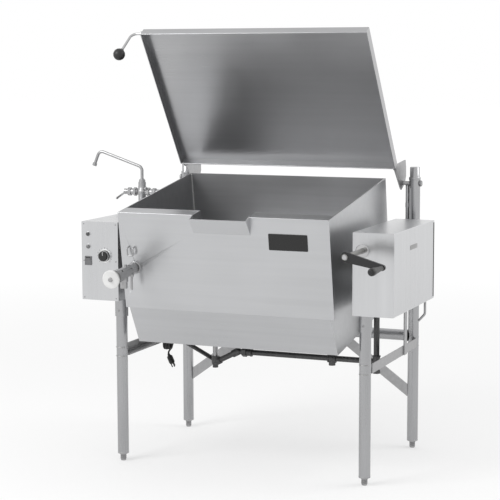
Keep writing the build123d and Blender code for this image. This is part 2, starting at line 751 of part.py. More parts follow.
def make_pan():
    """The vessel with its pouring lip, the jacket round it, the burner shroud and the burners."""
    t = jacket_t
    vt = vessel_t
    beyond = 20
    skin = slab([rim_front, face_foot, rear_foot, rim_rear], -half_pan, half_pan)
    inner = [on_face(-beyond, -t), on_face(face_l + beyond, -t), on_rear(rear_wall_l + beyond, t), on_rear(-beyond, t)]
    skin -= slab(inner, t - half_pan, half_pan - t)
    crease = on_face(lip_drop)
    notch_w = lip_half_w + vt
    skin -= box(-notch_w, notch_w, rim_y - beyond, crease[0] + beyond, crease[1], rim_z + beyond)
    skin -= rod(drain_at(-beyond), drain_at(beyond), drain_pipe_d + 2 * pipe_hole_gap)
    parts["pan_jacket"] = skin

    half_shroud = half_pan - shroud_inset
    rear_lap = rear_wall_l - shroud_lap
    belly = [on_face(face_l - shroud_lap, -t), on_face(face_l, -t), chin_foot, tail_foot,
             on_rear(rear_wall_l, t), on_rear(rear_lap, t)]
    shroud = slab(belly, -half_shroud, half_shroud)
    hollow = [on_face(face_l - shroud_lap - beyond, -2 * t), on_face(face_l, -2 * t),
              (chin_foot[0] + 1.2 * t, chin_foot[1] + 1.4 * t), (tail_foot[0] - t, tail_foot[1] + t),
              on_rear(rear_wall_l, 2 * t), on_rear(rear_lap - beyond, 2 * t)]
    shroud -= slab(hollow, t - half_shroud, half_shroud - t)
    pitch = 2 * half_shroud / (vent_slots + 1)
    slot_y = (chin_foot[0] + tail_foot[0]) / 2
    for i in range(vent_slots):
        x = -half_shroud + pitch * (i + 1)
        shroud -= box(x - vent_slot_w / 2, x + vent_slot_w / 2, slot_y - vent_slot_l / 2, slot_y + vent_slot_l / 2,
                      chin_foot[1] - beyond, tail_foot[1] + beyond)
    sill = slab([on_face(face_l - shroud_lap, -t), on_face(face_l - shroud_lap + t, -t),
                 on_rear(rear_lap + t, t), on_rear(rear_lap, t)], half_shroud, half_pan - t)
    parts["pan_shroud"] = shroud + sill + mirrored(sill)

    wall_x = half_pan - t
    corner = vessel_corner
    wall_y = vessel_wall_y
    body = slab([(corner[0] - wall_y, corner[1]), (front_y(floor_z) - wall_y, floor_z),
                 on_rear((rim_rear[1] - floor_z) / cos(radians(face_lean)), t), on_rear(0, t)], -wall_x, wall_x)
    ledge_edge = on_face(0, -t)
    top = slab([ledge_edge, on_face(vt, -t), (corner[0], corner[1] - vt), corner], -wall_x, wall_x)
    vessel = body + top
    trough = (front_y(crease[1]), crease[1])
    tip = on_face(lip_low, lip_out)
    spout = [(trough[0], trough[1] - vt), on_face(lip_drop + vt, -t), on_face(lip_drop, -t), crease, tip,
             on_face(0), corner]
    vessel += slab(spout, -notch_w, notch_w)
    high_z = rim_rear[1] + beyond
    vessel -= slab([(front_y(high_z), high_z), (front_y(floor_z - 1), floor_z - 1),
                    (rear_y(floor_z - 1), floor_z - 1), (rear_y(high_z), high_z)], vt - wall_x, wall_x - vt)
    channel = [(trough[0] + 2 * vt, trough[1]), (crease[0] + vt, crease[1]), (tip[0] + vt, tip[1]),
               (tip[0] + vt, high_z), (corner[0] + 2 * vt, high_z)]
    vessel -= slab(channel, -lip_half_w, lip_half_w)
    vessel -= rod(drain_at(-ledge - drain_pipe_d), drain_at(0), drain_bore)
    parts["pan_vessel"] = vessel
    parts["cooking_plate"] = slab([(front_y(plate_z), plate_z), (front_y(floor_z), floor_z),
                                   (rear_y(floor_z), floor_z), (rear_y(plate_z), plate_z)],
                                  vt - wall_x, wall_x - vt)

    tubes = []
    span = rear_y(floor_z) - front_y(floor_z)
    for i in range(burner_count):
        y = front_y(floor_z) + span * (i + 1) / (burner_count + 1)
        tube = pipe((-burner_l / 2, y, burner_z), (burner_l / 2, y, burner_z), burner_d, burner_d - 2 * burner_wall)
        for x in (-burner_l / 2, burner_l / 2 - burner_cap_t):
            tube += box(x, x + burner_cap_t, y - hanger_w / 2, y + hanger_w / 2,
                        burner_z + burner_d / 2 - burner_cap_t, floor_z)
            tube += rod((x, y, burner_z), (x + burner_cap_t, y, burner_z), burner_d)
        tubes.append(tube)
    parts["burner_tubes"] = group(*tubes)

    badge_place = Plane(origin=(half_pan - badge_in, *on_face(badge_down)), x_dir=(1, 0, 0), z_dir=(0, *face_normal))
    parts["name_plate"] = badge_place * extrude(RectangleRounded(badge_w, badge_h, badge_corner_r), amount=badge_t)
    hook_down = face_l - valve_up - hook_rise
    lower = on_face(hook_down, hook_out)
    upper = on_face(hook_down - hook_l, hook_out)
    root = on_face(hook_down - hook_l)
    left_x = valve_x - hook_side - hook_w / 2
    right_x = left_x + hook_w
    route = [(left_x, *root), (left_x, *upper), (left_x, *lower), (right_x, *lower), (right_x, *upper), (right_x, *root)]
    parts["strainer_hook"] = bent(route, hook_wire, hook_bend)


def make_valve():
    """The draw-off valve: pipe with its bleed cock, body with its outlet, plunger, stem and handwheel."""
    at = drain_at
    face_dir = Vector(0, *face_normal)
    collar = extrude(Plane(origin=at(0), z_dir=face_dir) * Circle(collar_d / 2), amount=collar_t)
    collar = chamfer(collar.edges().sort_by(Axis.Y)[0], 2)
    inner_end = -ledge - drain_pipe_d
    line = rod(at(inner_end), at(drain_pipe_l), drain_pipe_d) + collar
    union_end = drain_pipe_l - union_gap
    line += hexagon(at(union_end - union_l), at(union_end), union_across)
    line += rod(at(cock_out - tee_l / 2), at(cock_out + tee_l / 2), tee_d)
    cock_x, cock_y, cock_z = at(cock_out)
    neck_z = cock_z - cock_neck_l
    line += rod((cock_x, cock_y, cock_z), (cock_x, cock_y, neck_z), cock_neck_d)
    line += rod((cock_x, cock_y, neck_z), (cock_x, cock_y, cock_z - cock_l), cock_d)
    line -= rod((cock_x, cock_y, neck_z), (cock_x, cock_y, cock_z - cock_l - 1), cock_bore)
    low_z = at(0)[2] - drain_pipe_d
    high_z = at(inner_end)[2] + drain_pipe_d
    line -= slab([(front_y(low_z) - vessel_wall_y, low_z), (front_y(high_z) - vessel_wall_y, high_z),
                  (rear_y(high_z), high_z), (rear_y(low_z), low_z)], valve_x - drain_pipe_d, valve_x + drain_pipe_d)
    line -= rod(at(inner_end), at(drain_pipe_l + 1), drain_bore)
    parts["draw_off_pipe"] = line
    body_end = drain_pipe_l + valve_body_l
    bonnet_end = body_end + valve_bonnet_l
    outlet_at = at(drain_pipe_l + outlet_in)
    outlet_foot = (outlet_at[0], outlet_at[1], outlet_at[2] - outlet_l)
    body = rod(at(drain_pipe_l), at(body_end), valve_body_d) + rod(at(body_end), at(bonnet_end), valve_bonnet_d)
    spigot_top = (outlet_foot[0], outlet_foot[1], outlet_foot[2] + spigot_l)
    body += rod(outlet_at, spigot_top, outlet_neck_d) + rod(spigot_top, outlet_foot, outlet_d)
    wing = at(drain_pipe_l + 16)
    body += box(wing[0] - wing_w / 2, wing[0] + wing_w / 2, wing[1] - wing_t / 2, wing[1] + wing_t / 2,
                wing[2], wing[2] + valve_body_d / 2 + wing_rise)
    plunger_d = drain_bore + 8
    body -= rod(at(drain_pipe_l - 1), at(drain_pipe_l + 6), drain_bore)
    body -= rod(at(drain_pipe_l + 5.9), at(body_end - 6), plunger_d + 2)
    body -= rod(outlet_at, (outlet_foot[0], outlet_foot[1], outlet_foot[2] - 1), outlet_d - 2 * outlet_wall)
    body -= rod(at(body_end - 7), at(bonnet_end + 1), stem_d + 2 * running)
    parts["valve_body"] = body
    plunger = rod(at(drain_pipe_l + 6.2), at(drain_pipe_l + 18), plunger_d)
    plunger = chamfer(plunger.edges().sort_by(Axis.Y)[-1], 2.5)
    plunger += rod(at(drain_pipe_l + 18), at(drain_pipe_l + 26), stem_d)
    parts["valve_plunger"] = plunger
    wheel_at = bonnet_end + stem_l - 14
    wheel = rod(at(drain_pipe_l + 26.3 + plunger_travel), at(wheel_at + handwheel_t + 2), stem_d)
    disc = rod(at(wheel_at), at(wheel_at + handwheel_t), handwheel_d)
    disc = fillet(disc.edges().filter_by(GeomType.CIRCLE), 3.5)
    wheel += disc
    wheel += hexagon(at(wheel_at + handwheel_t - 4), at(wheel_at + handwheel_t + 5), 13)
    wheel += rod(at(wheel_at - 6), at(wheel_at), 16)
    parts["valve_handwheel"] = wheel
    return at(wheel_at), outlet_foot


def make_lid():
    """The lid with its ears and handle, and the brackets, pins and springs that carry it."""
    normal = (0, sin(radians(lid_open)), cos(radians(lid_open)))
    plane = Plane(origin=(0, lid_back_y, lid_back_z), x_dir=(1, 0, 0), z_dir=normal)
    half = lid_w / 2
    body = box(-half, half, -lid_l, 0, 0, lid_skirt)
    body = fillet(body.edges().filter_by(Axis.Z), 2)
    body = fillet(body.faces().sort_by(Axis.Z)[-1].edges(), 3)
    cavity = box(lid_t - half, half - lid_t, lid_t - lid_l, -lid_t, -1, lid_skirt - lid_t)
    parts["lid_panel"] = plane.location * (body - cavity)
    pin = plane.to_local_coords(Vector(0, hinge_y, hinge_z))
    ear_x = half - lid_t - 0.5
    ear = rod((ear_x, pin.Y, pin.Z), (ear_x - ear_t, pin.Y, pin.Z), 2 * ear_r)
    ear += box(ear_x - ear_t, ear_x, 0, pin.Y, pin.Z - ear_r, pin.Z)
    ear -= rod((ear_x + 1, pin.Y, pin.Z), (ear_x - ear_t - 1, pin.Y, pin.Z), hinge_pin_d + 2 * running)
    ear -= box(ear_x - ear_t - 1, ear_x + 1, -2 * ear_r, 0, pin.Z - 2 * ear_r, pin.Z + 2 * ear_r)
    parts["lid_ears"] = plane.location * both_sides(ear)
    rod_u = 10 - lid_l
    rod_n = lid_skirt / 2
    out_x = -half - lid_rod_out
    route = [(-half, rod_u, rod_n), (out_x, rod_u, rod_n), (out_x, rod_u, rod_n - lid_rod_l)]
    boss = rod((-half, rod_u, rod_n), (-half - 5, rod_u, rod_n), lid_rod_d + 9)
    parts["lid_handle"] = plane.location * (bent(route, lid_rod_d, lid_rod_bend) + boss)
    knob_r = lid_knob_d / 2
    knob_n = rod_n - lid_rod_l - knob_r + 3
    knob = Pos(out_x, rod_u, knob_n) * Sphere(knob_r)
    knob += rod((out_x, rod_u, rod_n - lid_rod_l), (out_x, rod_u, knob_n), lid_rod_d + 8)
    knob -= rod((out_x, rod_u, rod_n - lid_rod_l), (out_x, rod_u, rod_n), lid_knob_d)
    parts["lid_knob"] = plane.location * knob

    plate_x = ear_x - ear_t - hinge_gap
    spacer_x = leg_x - leg_r
    front = rear_leg_y - bracket_front
    back = rear_leg_y + bracket_rear
    low = bracket_bolt_z - bracket_low
    high = bracket_bolt_z + bracket_high
    middle = bracket_bolt_z + bracket_shoulder
    outline = [(hinge_y - 0.7 * ear_r, hinge_z - 0.57 * ear_r), (front, low + 7), (front + 10, low),
               (back - 17, low + 20), (back, middle), (back - 1, middle + 31), (back - 8, high),
               (front + 14, high - 4), (hinge_y - 0.3 * ear_r, hinge_z + 0.8 * ear_r)]
    bracket = slab(outline, plate_x - bracket_t, plate_x)
    bracket += rod((plate_x - bracket_t, hinge_y, hinge_z), (plate_x, hinge_y, hinge_z), 2 * ear_r - 6)
    bracket -= rod((plate_x - bracket_t - 1, hinge_y, hinge_z), (plate_x + 1, hinge_y, hinge_z), hinge_pin_d)
    bracket += rod((plate_x, rear_leg_y, bracket_bolt_z), (spacer_x + 2, rear_leg_y, bracket_bolt_z), spacer_d)
    bracket -= rod((leg_x, rear_leg_y, housing_z), (leg_x, rear_leg_y, cap_top), leg_d)
    parts["hinge_brackets"] = both_sides(bracket)
    pivot = rod((plate_x - bracket_t, hinge_y, hinge_z), (ear_x + 1, hinge_y, hinge_z), hinge_pin_d)
    pivot += rod((plate_x - bracket_t - 4, hinge_y, hinge_z), (plate_x - bracket_t, hinge_y, hinge_z), hinge_pin_d + 6)
    parts["hinge_pins"] = both_sides(pivot)
    outer_x = leg_x + leg_r
    bolt = hexagon((outer_x, rear_leg_y, bracket_bolt_z), (outer_x + bolt_head_h, rear_leg_y, bracket_bolt_z),
                   bolt_across)
    bolt += rod((leg_x, rear_leg_y, bracket_bolt_z), (outer_x + washer_t, rear_leg_y, bracket_bolt_z), washer_d)
    bolt -= rod((leg_x, rear_leg_y, housing_z), (leg_x, rear_leg_y, cap_top), leg_d)
    nut = hexagon((plate_x - bracket_t - bolt_head_h, rear_leg_y, bracket_bolt_z),
                  (plate_x - bracket_t, rear_leg_y, bracket_bolt_z), nut_across)
    parts["bracket_bolts"] = both_sides(group(bolt, nut))
    spring_x = spacer_x - spring_tube_d / 2 - spring_gap
    spring_top = bracket_bolt_z - spacer_d / 2
    spring = rod((spring_x, rear_leg_y, spring_top - spring_tube_l), (spring_x, rear_leg_y, spring_top), spring_tube_d)
    for z in (spring_top - 0.25 * spring_tube_l, spring_top - spring_tube_l + 30):
        spring += rod((spring_x, rear_leg_y, z), (spring_x, rear_leg_y, z + spring_clip_h), spring_tube_d + 2)
        spring += box(spring_x, spacer_x + 2, rear_leg_y - spring_clip_w / 2, rear_leg_y + spring_clip_w / 2,
                      z, z + spring_clip_h)
    spring -= rod((leg_x, rear_leg_y, housing_z), (leg_x, rear_leg_y, cap_top), leg_d)
    parts["lid_spring_tubes"] = both_sides(spring)
    return plane


def make_faucet():
    """The water faucet: body, swinging spout and two lever handles."""
    z = faucet_body_z
    seat = housing_top

    def upright(z0, z1, diameter):
        return rod((faucet_x, faucet_y, z0), (faucet_x, faucet_y, z1), diameter)

    def sideways(x0, x1, diameter):
        return rod((faucet_x + x0, faucet_y, z), (faucet_x + x1, faucet_y, z), diameter)

    body = chamfer(upright(seat, seat + faucet_base_t, faucet_base_d).edges().group_by(Axis.Z)[-1], 2)
    ring_z = z + faucet_ring_up
    body += upright(seat, ring_z, faucet_neck_d)
    body += Pos(faucet_x, faucet_y, z) * Sphere(faucet_body_d / 2)
    body += upright(seat - faucet_shank_l, seat, faucet_arm_d)
    reach = faucet_reach - cap_w
    for sign in (-1, 1):
        body += sideways(0, sign * reach, faucet_arm_d)
        for x0, x1, across in ((bonnet_in, bonnet_in + bonnet_w, bonnet_across), (reach - cap_w, reach, cap_across)):
            body += hexagon((faucet_x + sign * x0, faucet_y, z), (faucet_x + sign * x1, faucet_y, z), across)
    ring_top = ring_z + faucet_ring_h
    seat_depth = 4
    body += upright(ring_z, ring_top, faucet_ring_d)
    body -= upright(ring_z - seat_depth, ring_top + 1, spout_d + 2 * running)
    nut_top = seat - housing_t
    nut = hexagon((faucet_x, faucet_y, nut_top - faucet_nut_t), (faucet_x, faucet_y, nut_top), faucet_nut_across)
    nut -= upright(nut_top - faucet_nut_t - 1, nut_top + 1, faucet_arm_d + 2 * running)
    parts["faucet_body"] = group(body, nut)
    top = z + spout_h
    far_x = faucet_x - spout_l
    spout_foot = ring_z - seat_depth + 1
    end = Vector(far_x - spout_kick, faucet_y, top + spout_rise - spout_drop)
    route = [(faucet_x, faucet_y, spout_foot), (faucet_x, faucet_y, top), (far_x, faucet_y, top + spout_rise), end]
    spout = bent(route, spout_tube_d, spout_bend)
    spout += upright(spout_foot, ring_top + seat_depth, spout_d)
    spout += upright(ring_top + spout_seat, ring_top + faucet_ring_h / 2 + 2, spout_nut_d)
    tip = end + Vector(-spout_kick, 0, -spout_drop).normalized() * aerator_l
    spout += rod((end.X, end.Y, end.Z), (tip.X, tip.Y, tip.Z), spout_d + 2)
    parts["faucet_spout"] = spout
    for name, sign in (("faucet_left_lever", -1), ("faucet_right_lever", 1)):
        x0 = reach + lever_gap
        x1 = x0 + lever_hub_l
        ball = (faucet_x + sign * (x1 + lever_l * 0.72), faucet_y - lever_d / 2, z - lever_l * 0.62)
        lever = rod((faucet_x + sign * (x1 - lever_d + 1), faucet_y, z), ball, lever_d)
        parts[name] = sideways(sign * x0, sign * x1, lever_hub_d) + lever + Pos(*ball) * Sphere(lever_ball_d / 2)


def make_gas_line():
    """The gas line on the stand: the inlet, the run under the pan and the branch to the console."""
    y = 0.0
    fit_l = 26

    def fitting(x, z, dx, dz):
        return rod((x - dx * fit_l / 2, y, z - dz * fit_l / 2), (x + dx * fit_l / 2, y, z + dz * fit_l / 2), fitting_d)

    run = rod((gas_x_left, y, gas_z), (gas_x_right, y, gas_z), gas_d)
    run += rod((gas_x_right, y, gas_drip_z), (gas_x_right, y, gas_in_z), gas_d)
    run += rod((gas_x_right, y, gas_in_z), (housing_x, y, gas_in_z), gas_d)
    run += Pos(gas_x_right, y, gas_in_z) * Sphere(gas_d / 2)
    run += fitting(gas_tee_x, gas_z, 1, 0) + rod((gas_tee_x, y, gas_z - 26), (gas_tee_x, y, gas_z), fitting_d - 4)
    run += fitting(gas_x_left + 42, gas_z, 1, 0)
    run += hexagon((gas_x_left + 20, y, gas_z), (gas_x_left + 36, y, gas_z), fitting_d + 4)
    run += rod((gas_x_right, y, gas_z - 20), (gas_x_right, y, gas_z + 20), gas_d + 6)
    run += hexagon((gas_x_right, y, gas_drip_z - 12), (gas_x_right, y, gas_drip_z), gas_d + 4)
    drop = Vector(gas_low_x - gas_x_left, 0, gas_low_z - gas_z)
    step = drop.normalized() * 24
    low = rod((gas_x_left, y, gas_z), (gas_low_x, y, gas_low_z), gas_d)
    low += Pos(gas_x_left, y, gas_z) * Sphere(fitting_d / 2) + Pos(gas_low_x, y, gas_low_z) * Sphere(fitting_d / 2)
    low += rod((gas_low_x, y, gas_low_z), (gas_low_x - step.X, y, gas_low_z - step.Z), fitting_d)
    low += rod((gas_x_left, y, gas_z), (gas_x_left + step.X, y, gas_z + step.Z), fitting_d)
    low += rod((gas_low_x, y, gas_low_z), (gas_low_x, y, gas_low_z + 24), fitting_d)
    low += rod((gas_low_x, y, gas_low_z - 20), (gas_low_x, y, gas_low_z), gas_d)
    tap = rod((gas_low_x, y, gas_low_z + 24), (gas_low_x, y, tap_top_z), gas_d - 2)
    up = rod((gas_low_x, y, gas_low_z + 8), (gas_console_x, gas_console_y, gas_console_z), gas_d - 5)
    up += Pos(gas_console_x, gas_console_y, gas_console_z) * Sphere((gas_d - 3) / 2)
    up += rod((gas_console_x, gas_console_y, gas_console_z), (gas_console_x, gas_console_y, housing_z), gas_d - 5)
    parts["gas_line"] = group(run, low - run, up - low - run)
    parts["gas_test_tap"] = tap - low
    vent_x = housing_outer - vent_tube_in
    vent_y = housing_rear - vent_tube_back
    vent_z = housing_z - vent_tube_l
    route = [(vent_x, vent_y, housing_z), (vent_x, vent_y, vent_z),
             (vent_x - vent_tube_kick, vent_y, vent_z - vent_tube_kick - 2)]
    parts["housing_vent_tube"] = bent(route, vent_tube_d, vent_tube_bend)


def corner_radii(points):
    """The bend radius at each corner of a cord's route: 0.45 of the shorter run over tan of half the turn."""
    radii = []
    for before, here, after in zip(points, points[1:], points[2:]):
        first = Vector(*here) - Vector(*before)
        second = Vector(*after) - Vector(*here)
        turn = radians(first.get_angle(second))
        radii.append(0.45 * min(first.length, second.length) / tan(turn / 2))
    return radii


def make_cord():
    """The power cord with its hank and plug."""
    solids = []
    for points in (cord_points, tail_points):
        radii = corner_radii(points)
        print("cord bend radii", [round(r, 1) for r in radii])
        path = FilletPolyline(*points, radius=radii)
        tube = sweep(Plane(origin=path @ 0, z_dir=path % 0) * Circle(cord_d / 2), path=path)
        print("cord tube volume", round(tube.volume), "section times length",
              round(pi * cord_d ** 2 / 4 * path.length), "length", round(path.length))
        solids.append(tube)
    parts["power_cord"] = group(*solids)
    hank = box(cord_x - hank_t / 2, cord_x + hank_t / 2, cord_exit_y - hank_w / 2, cord_exit_y + hank_w / 2,
               hank_top - hank_l, hank_top)
    hank = fillet(hank.edges().filter_by(Axis.X), hank_w / 2 - 1)
    hank = fillet(hank.edges().group_by(Axis.X)[0] + hank.edges().group_by(Axis.X)[-1], 3)
    parts["cord_hank"] = hank
    end = Vector(*tail_points[-1])
    ray = (end - Vector(*tail_points[-2])).normalized()

    def at(distance):
        point = end + ray * distance
        return (point.X, point.Y, point.Z)

    plug = rod(at(0), at(plug_l), plug_d)
    plug = fillet(plug.edges(), 3)
    frame = Plane(origin=at(plug_l), z_dir=ray)
    for sign in (-1, 1):
        plug += frame.location * Pos(sign * 6.35, 0, 8) * Box(1.5, 6.3, 17)
    plug += frame.location * Pos(0, 9 - 3, 8) * Cylinder(2.4, 18)
    parts["power_plug"] = plug


make_stand()
make_console()
crank_z, grip_x, grip_z = make_gearbox()
make_pan()
wheel_centre, outlet_end = make_valve()
lid_plane = make_lid()
make_faucet()
make_gas_line()
make_cord()

# The origin is the middle of the footprint, on the floor. The cord doesn't count.
cord_nodes = ("power_cord", "cord_hank", "power_plug")
bounds = [solid.bounding_box() for name, solid in parts.items() if name not in cord_nodes]
shift = Vector(-(min(b.min.X for b in bounds) + max(b.max.X for b in bounds)) / 2,
               -(min(b.min.Y for b in bounds) + max(b.max.Y for b in bounds)) / 2,
               -min(b.min.Z for b in bounds))
print("shift", shift, "nodes", len(parts))

os.makedirs("parts", exist_ok=True)
for name, solid in parts.items():
    export_step(Pos(shift) * solid, f"parts/{name}.step")
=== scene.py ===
"""Looks of the tilting bratt pan: camera, cord, finishes, small pieces, floor and light."""

import json
import math

import bmesh
import bpy
from mathutils import Matrix, Vector


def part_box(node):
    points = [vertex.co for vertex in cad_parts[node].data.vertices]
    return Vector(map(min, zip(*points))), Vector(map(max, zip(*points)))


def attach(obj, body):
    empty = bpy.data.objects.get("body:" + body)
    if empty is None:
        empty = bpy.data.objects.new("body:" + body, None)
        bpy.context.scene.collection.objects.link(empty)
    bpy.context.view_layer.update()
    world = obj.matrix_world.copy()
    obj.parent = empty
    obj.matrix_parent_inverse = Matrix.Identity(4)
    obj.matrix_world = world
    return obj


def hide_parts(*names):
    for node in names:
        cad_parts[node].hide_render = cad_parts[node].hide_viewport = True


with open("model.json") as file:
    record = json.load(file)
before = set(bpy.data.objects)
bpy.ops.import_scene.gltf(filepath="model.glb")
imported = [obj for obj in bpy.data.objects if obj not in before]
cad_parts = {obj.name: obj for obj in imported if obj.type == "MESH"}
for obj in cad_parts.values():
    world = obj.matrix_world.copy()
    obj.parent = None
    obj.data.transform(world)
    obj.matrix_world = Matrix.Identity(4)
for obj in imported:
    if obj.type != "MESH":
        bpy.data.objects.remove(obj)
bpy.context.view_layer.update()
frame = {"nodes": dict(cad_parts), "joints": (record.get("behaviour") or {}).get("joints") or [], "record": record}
NODES = frame["nodes"]
MM = 0.001
X = Vector((1, 0, 0))
Y = Vector((0, 1, 0))
Z = Vector((0, 0, 1))


def middle(node):
    """Centre of a CAD node's box."""
    low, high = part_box(node)
    return (low + high) / 2


def joint(name):
    """A joint of the frame: its place and its axis."""
    found = next(j for j in frame["joints"] if j["name"] == name)
    return Vector(found.get("pos_m", (0, 0, 0))), Vector(found["axis"]).normalized()


# The drawing's zero: midway between the legs, and 300 mm behind the front pair
FRONT_LEG_Y = -300.0
LEFT_LEG = middle("front_left_leg")
RIGHT_LEG = middle("front_right_leg")
ZERO = Vector(((LEFT_LEG.x + RIGHT_LEG.x) / 2, LEFT_LEG.y - FRONT_LEG_Y * MM, 0))


def at(x, y, z):
    """A place from its millimetres in the drawing."""
    return ZERO + Vector((x, y, z)) * MM


# The pan and lid as the drawing has them, in millimetres and degrees
RIM_Y = -470.0
RIM_Z = 947.0
RIM_SLOPE = 8.7
FACE_LEAN = 9.6
PAN_D = 635.0
LIP_HALF_W = 104.0
LID_BACK_Y = 150.0
LID_BACK_Z = 1078.0
LID_OPEN = 55.2
LID_L = 605.0


# Camera

CAMERA_PLACE = (2169.2, -5470.4, 1495.2)
CAMERA_YAW = 22.377
CAMERA_PITCH = 6.972
CAMERA_ROLL = 0.157
CAMERA_LENS = 114.3
CAMERA_SENSOR = 36.0
CAMERA_CLIP = (0.5, 60.0)


def make_camera():
    """The camera at the photograph's viewing angle."""
    data = bpy.data.cameras.new("camera")
    data.lens = CAMERA_LENS
    data.sensor_width = CAMERA_SENSOR
    data.clip_start, data.clip_end = CAMERA_CLIP
    camera = bpy.data.objects.new("camera", data)
    bpy.context.scene.collection.objects.link(camera)
    turn = Matrix.Rotation(math.radians(CAMERA_YAW), 4, "Z")
    turn @= Matrix.Rotation(math.radians(90 - CAMERA_PITCH), 4, "X")
    turn @= Matrix.Rotation(math.radians(-CAMERA_ROLL), 4, "Z")
    camera.matrix_world = Matrix.Translation(at(*CAMERA_PLACE)) @ turn
    bpy.context.scene.camera = camera


# Finishes

BRUSH_GRAIN = 900.0
BRUSH_STRETCH = 0.012
BRUSH_DEPTH = 0.00002
BRUSH_STRENGTH = 0.3
BRUSH_ANISOTROPY = 0.55
BAND_ACROSS = 45.0
BAND_ALONG = 1.6
BAND_SHARE = 0.45
BRUSH_CLOUD = 2.6
LIP_EDGE = 0.5
METAL_WIDE = 0.12
METAL_RANGE = (0.1, 0.45)
COAT_WIDE = 9.0
COAT_CONTRAST = 0.12
WEAR_SHARE = 0.7
WEAR_EDGE = (0.53, 0.62)
WEAR_SKIN = (0.4, 0.6)


class Finish:
    """A procedural material: a Principled shader with node helpers."""

    def __init__(self, name, color, metallic, roughness, **constants):
        self.material = bpy.data.materials.new(name)
        self.material.use_nodes = True
        self.tree = self.material.node_tree
        self.shader = self.tree.nodes["Principled BSDF"]
        self.color = color
        self.roughness = roughness
        self.shader.inputs["Base Color"].default_value = (*color, 1)
        self.shader.inputs["Metallic"].default_value = metallic
        self.shader.inputs["Roughness"].default_value = roughness
        for socket, value in constants.items():
            self.shader.inputs[socket.replace("_", " ")].default_value = value
        self.place = self.tree.nodes.new("ShaderNodeTexCoord").outputs["Object"]
        self.height = None

    def node(self, kind, links=(), **settings):
        """A new node with its settings and linked inputs."""
        made = self.tree.nodes.new(kind)
        for name, value in settings.items():
            setattr(made, name, value)
        for socket, source in links:
            if hasattr(source, "is_output"):
                self.tree.links.new(source, made.inputs[socket])
            else:
                made.inputs[socket].default_value = source
        return made

    def noise(self, scale, stretch=(1, 1, 1), detail=3.0, rough=0.55):
        """A noise value from 0 to 1, stretched along the axes."""
        mapping = self.node("ShaderNodeMapping", [("Vector", self.place), ("Scale", stretch)])
        texture = self.node("ShaderNodeTexNoise", [("Vector", mapping.outputs[0]), ("Scale", scale),
                                                   ("Detail", detail), ("Roughness", rough)])
        return texture.outputs["Fac"]

    def remap(self, value, low, high, start=0.3, end=0.7):
        """A value moved from start..end to low..high."""
        return self.node("ShaderNodeMapRange", [("Value", value), ("From Min", start), ("From Max", end),
                                                ("To Min", low), ("To Max", high)]).outputs[0]

    def math(self, operation, first, second):
        """Two values joined by an operation."""
        return self.node("ShaderNodeMath", [(0, first), (1, second)], operation=operation).outputs[0]

    def vary_color(self, value, dark, light):
        """The base colour runs from dark to light times itself along a value."""
        low = [c * dark for c in self.color] + [1]
        high = [min(1, c * light) for c in self.color] + [1]
        mix = self.node("ShaderNodeMix", [("Factor", value)], data_type="RGBA")
        mix.inputs["A"].default_value = low
        mix.inputs["B"].default_value = high
        self.tree.links.new(mix.outputs["Result"], self.shader.inputs["Base Color"])

    def mix_color(self, factor, other):
        """Another colour laid over the base colour where the factor is 1."""
        socket = self.shader.inputs["Base Color"]
        mix = self.node("ShaderNodeMix", [("Factor", factor)], data_type="RGBA")
        mix.inputs["A"].default_value = (*self.color, 1)
        if socket.links:
            self.tree.links.new(socket.links[0].from_socket, mix.inputs["A"])
        mix.inputs["B"].default_value = (*other, 1)
        self.tree.links.new(mix.outputs["Result"], socket)

    def vary_roughness(self, value, less, more):
        """The roughness runs from less below to more above its own figure along a value."""
        swing = self.remap(value, self.roughness - less, self.roughness + more)
        self.tree.links.new(swing, self.shader.inputs["Roughness"])

    def bump(self, value, distance, strength=1.0):
        """A fine relief of that depth in metres."""
        links = [("Height", value), ("Distance", distance), ("Strength", strength)]
        if self.height is not None:
            links.append(("Normal", self.height))
        self.height = self.node("ShaderNodeBump", links).outputs[0]
        self.tree.links.new(self.height, self.shader.inputs["Normal"])

    def edges(self):
        """A value that is high on the part's convex edges."""
        return self.node("ShaderNodeNewGeometry").outputs["Pointiness"]


def brushed(name, color, roughness, along, contrast=0.06, lip=None):
    """Brushed stainless steel, its grain along an axis; if a lip colour is given, the part outside the front wall
    takes that lighter colour, and the darker base colour within the wall is painted shade.
    """
    finish = Finish(name, color, 1.0, roughness, Anisotropic=BRUSH_ANISOTROPY)
    across = [BRUSH_GRAIN] * 3
    across[along] = BRUSH_GRAIN * BRUSH_STRETCH
    fine_grain = finish.noise(1.0, across, detail=2.0)
    band = [BAND_ACROSS] * 3
    band[along] = BAND_ALONG
    broad = finish.math("MULTIPLY", finish.noise(1.0, band), BAND_SHARE)
    cloud = finish.noise(BRUSH_CLOUD, detail=2.0)
    joined = finish.math("ADD", broad, finish.math("MULTIPLY", cloud, 1 - BAND_SHARE))
    finish.vary_color(finish.remap(joined, 0, 1), 1 - contrast, 1 + contrast)
    if lip:
        # Painted shade mask: the lighter lip colour outside the front wall, the darker base colour within it.
        lean = math.radians(FACE_LEAN)
        outward = Vector((0, -math.cos(lean), -math.sin(lean)))
        reach = finish.node("ShaderNodeVectorMath", [(0, finish.place), (1, outward)],
                            operation="DOT_PRODUCT")
        wall = outward.dot(at(0, RIM_Y, RIM_Z))
        finish.mix_color(finish.remap(reach.outputs["Value"], 0, 1, wall, wall + LIP_EDGE * MM), lip)
    rough = finish.math("ADD", finish.math("MULTIPLY", fine_grain, 0.5), finish.math("MULTIPLY", cloud, 0.5))
    finish.vary_roughness(rough, 0.06, 0.07)
    finish.bump(fine_grain, BRUSH_DEPTH, BRUSH_STRENGTH)
    tangent = finish.node("ShaderNodeCombineXYZ", [("Z" if along != 2 else "X", 1.0)])
    finish.tree.links.new(tangent.outputs[0], finish.shader.inputs["Tangent"])
    return finish.material


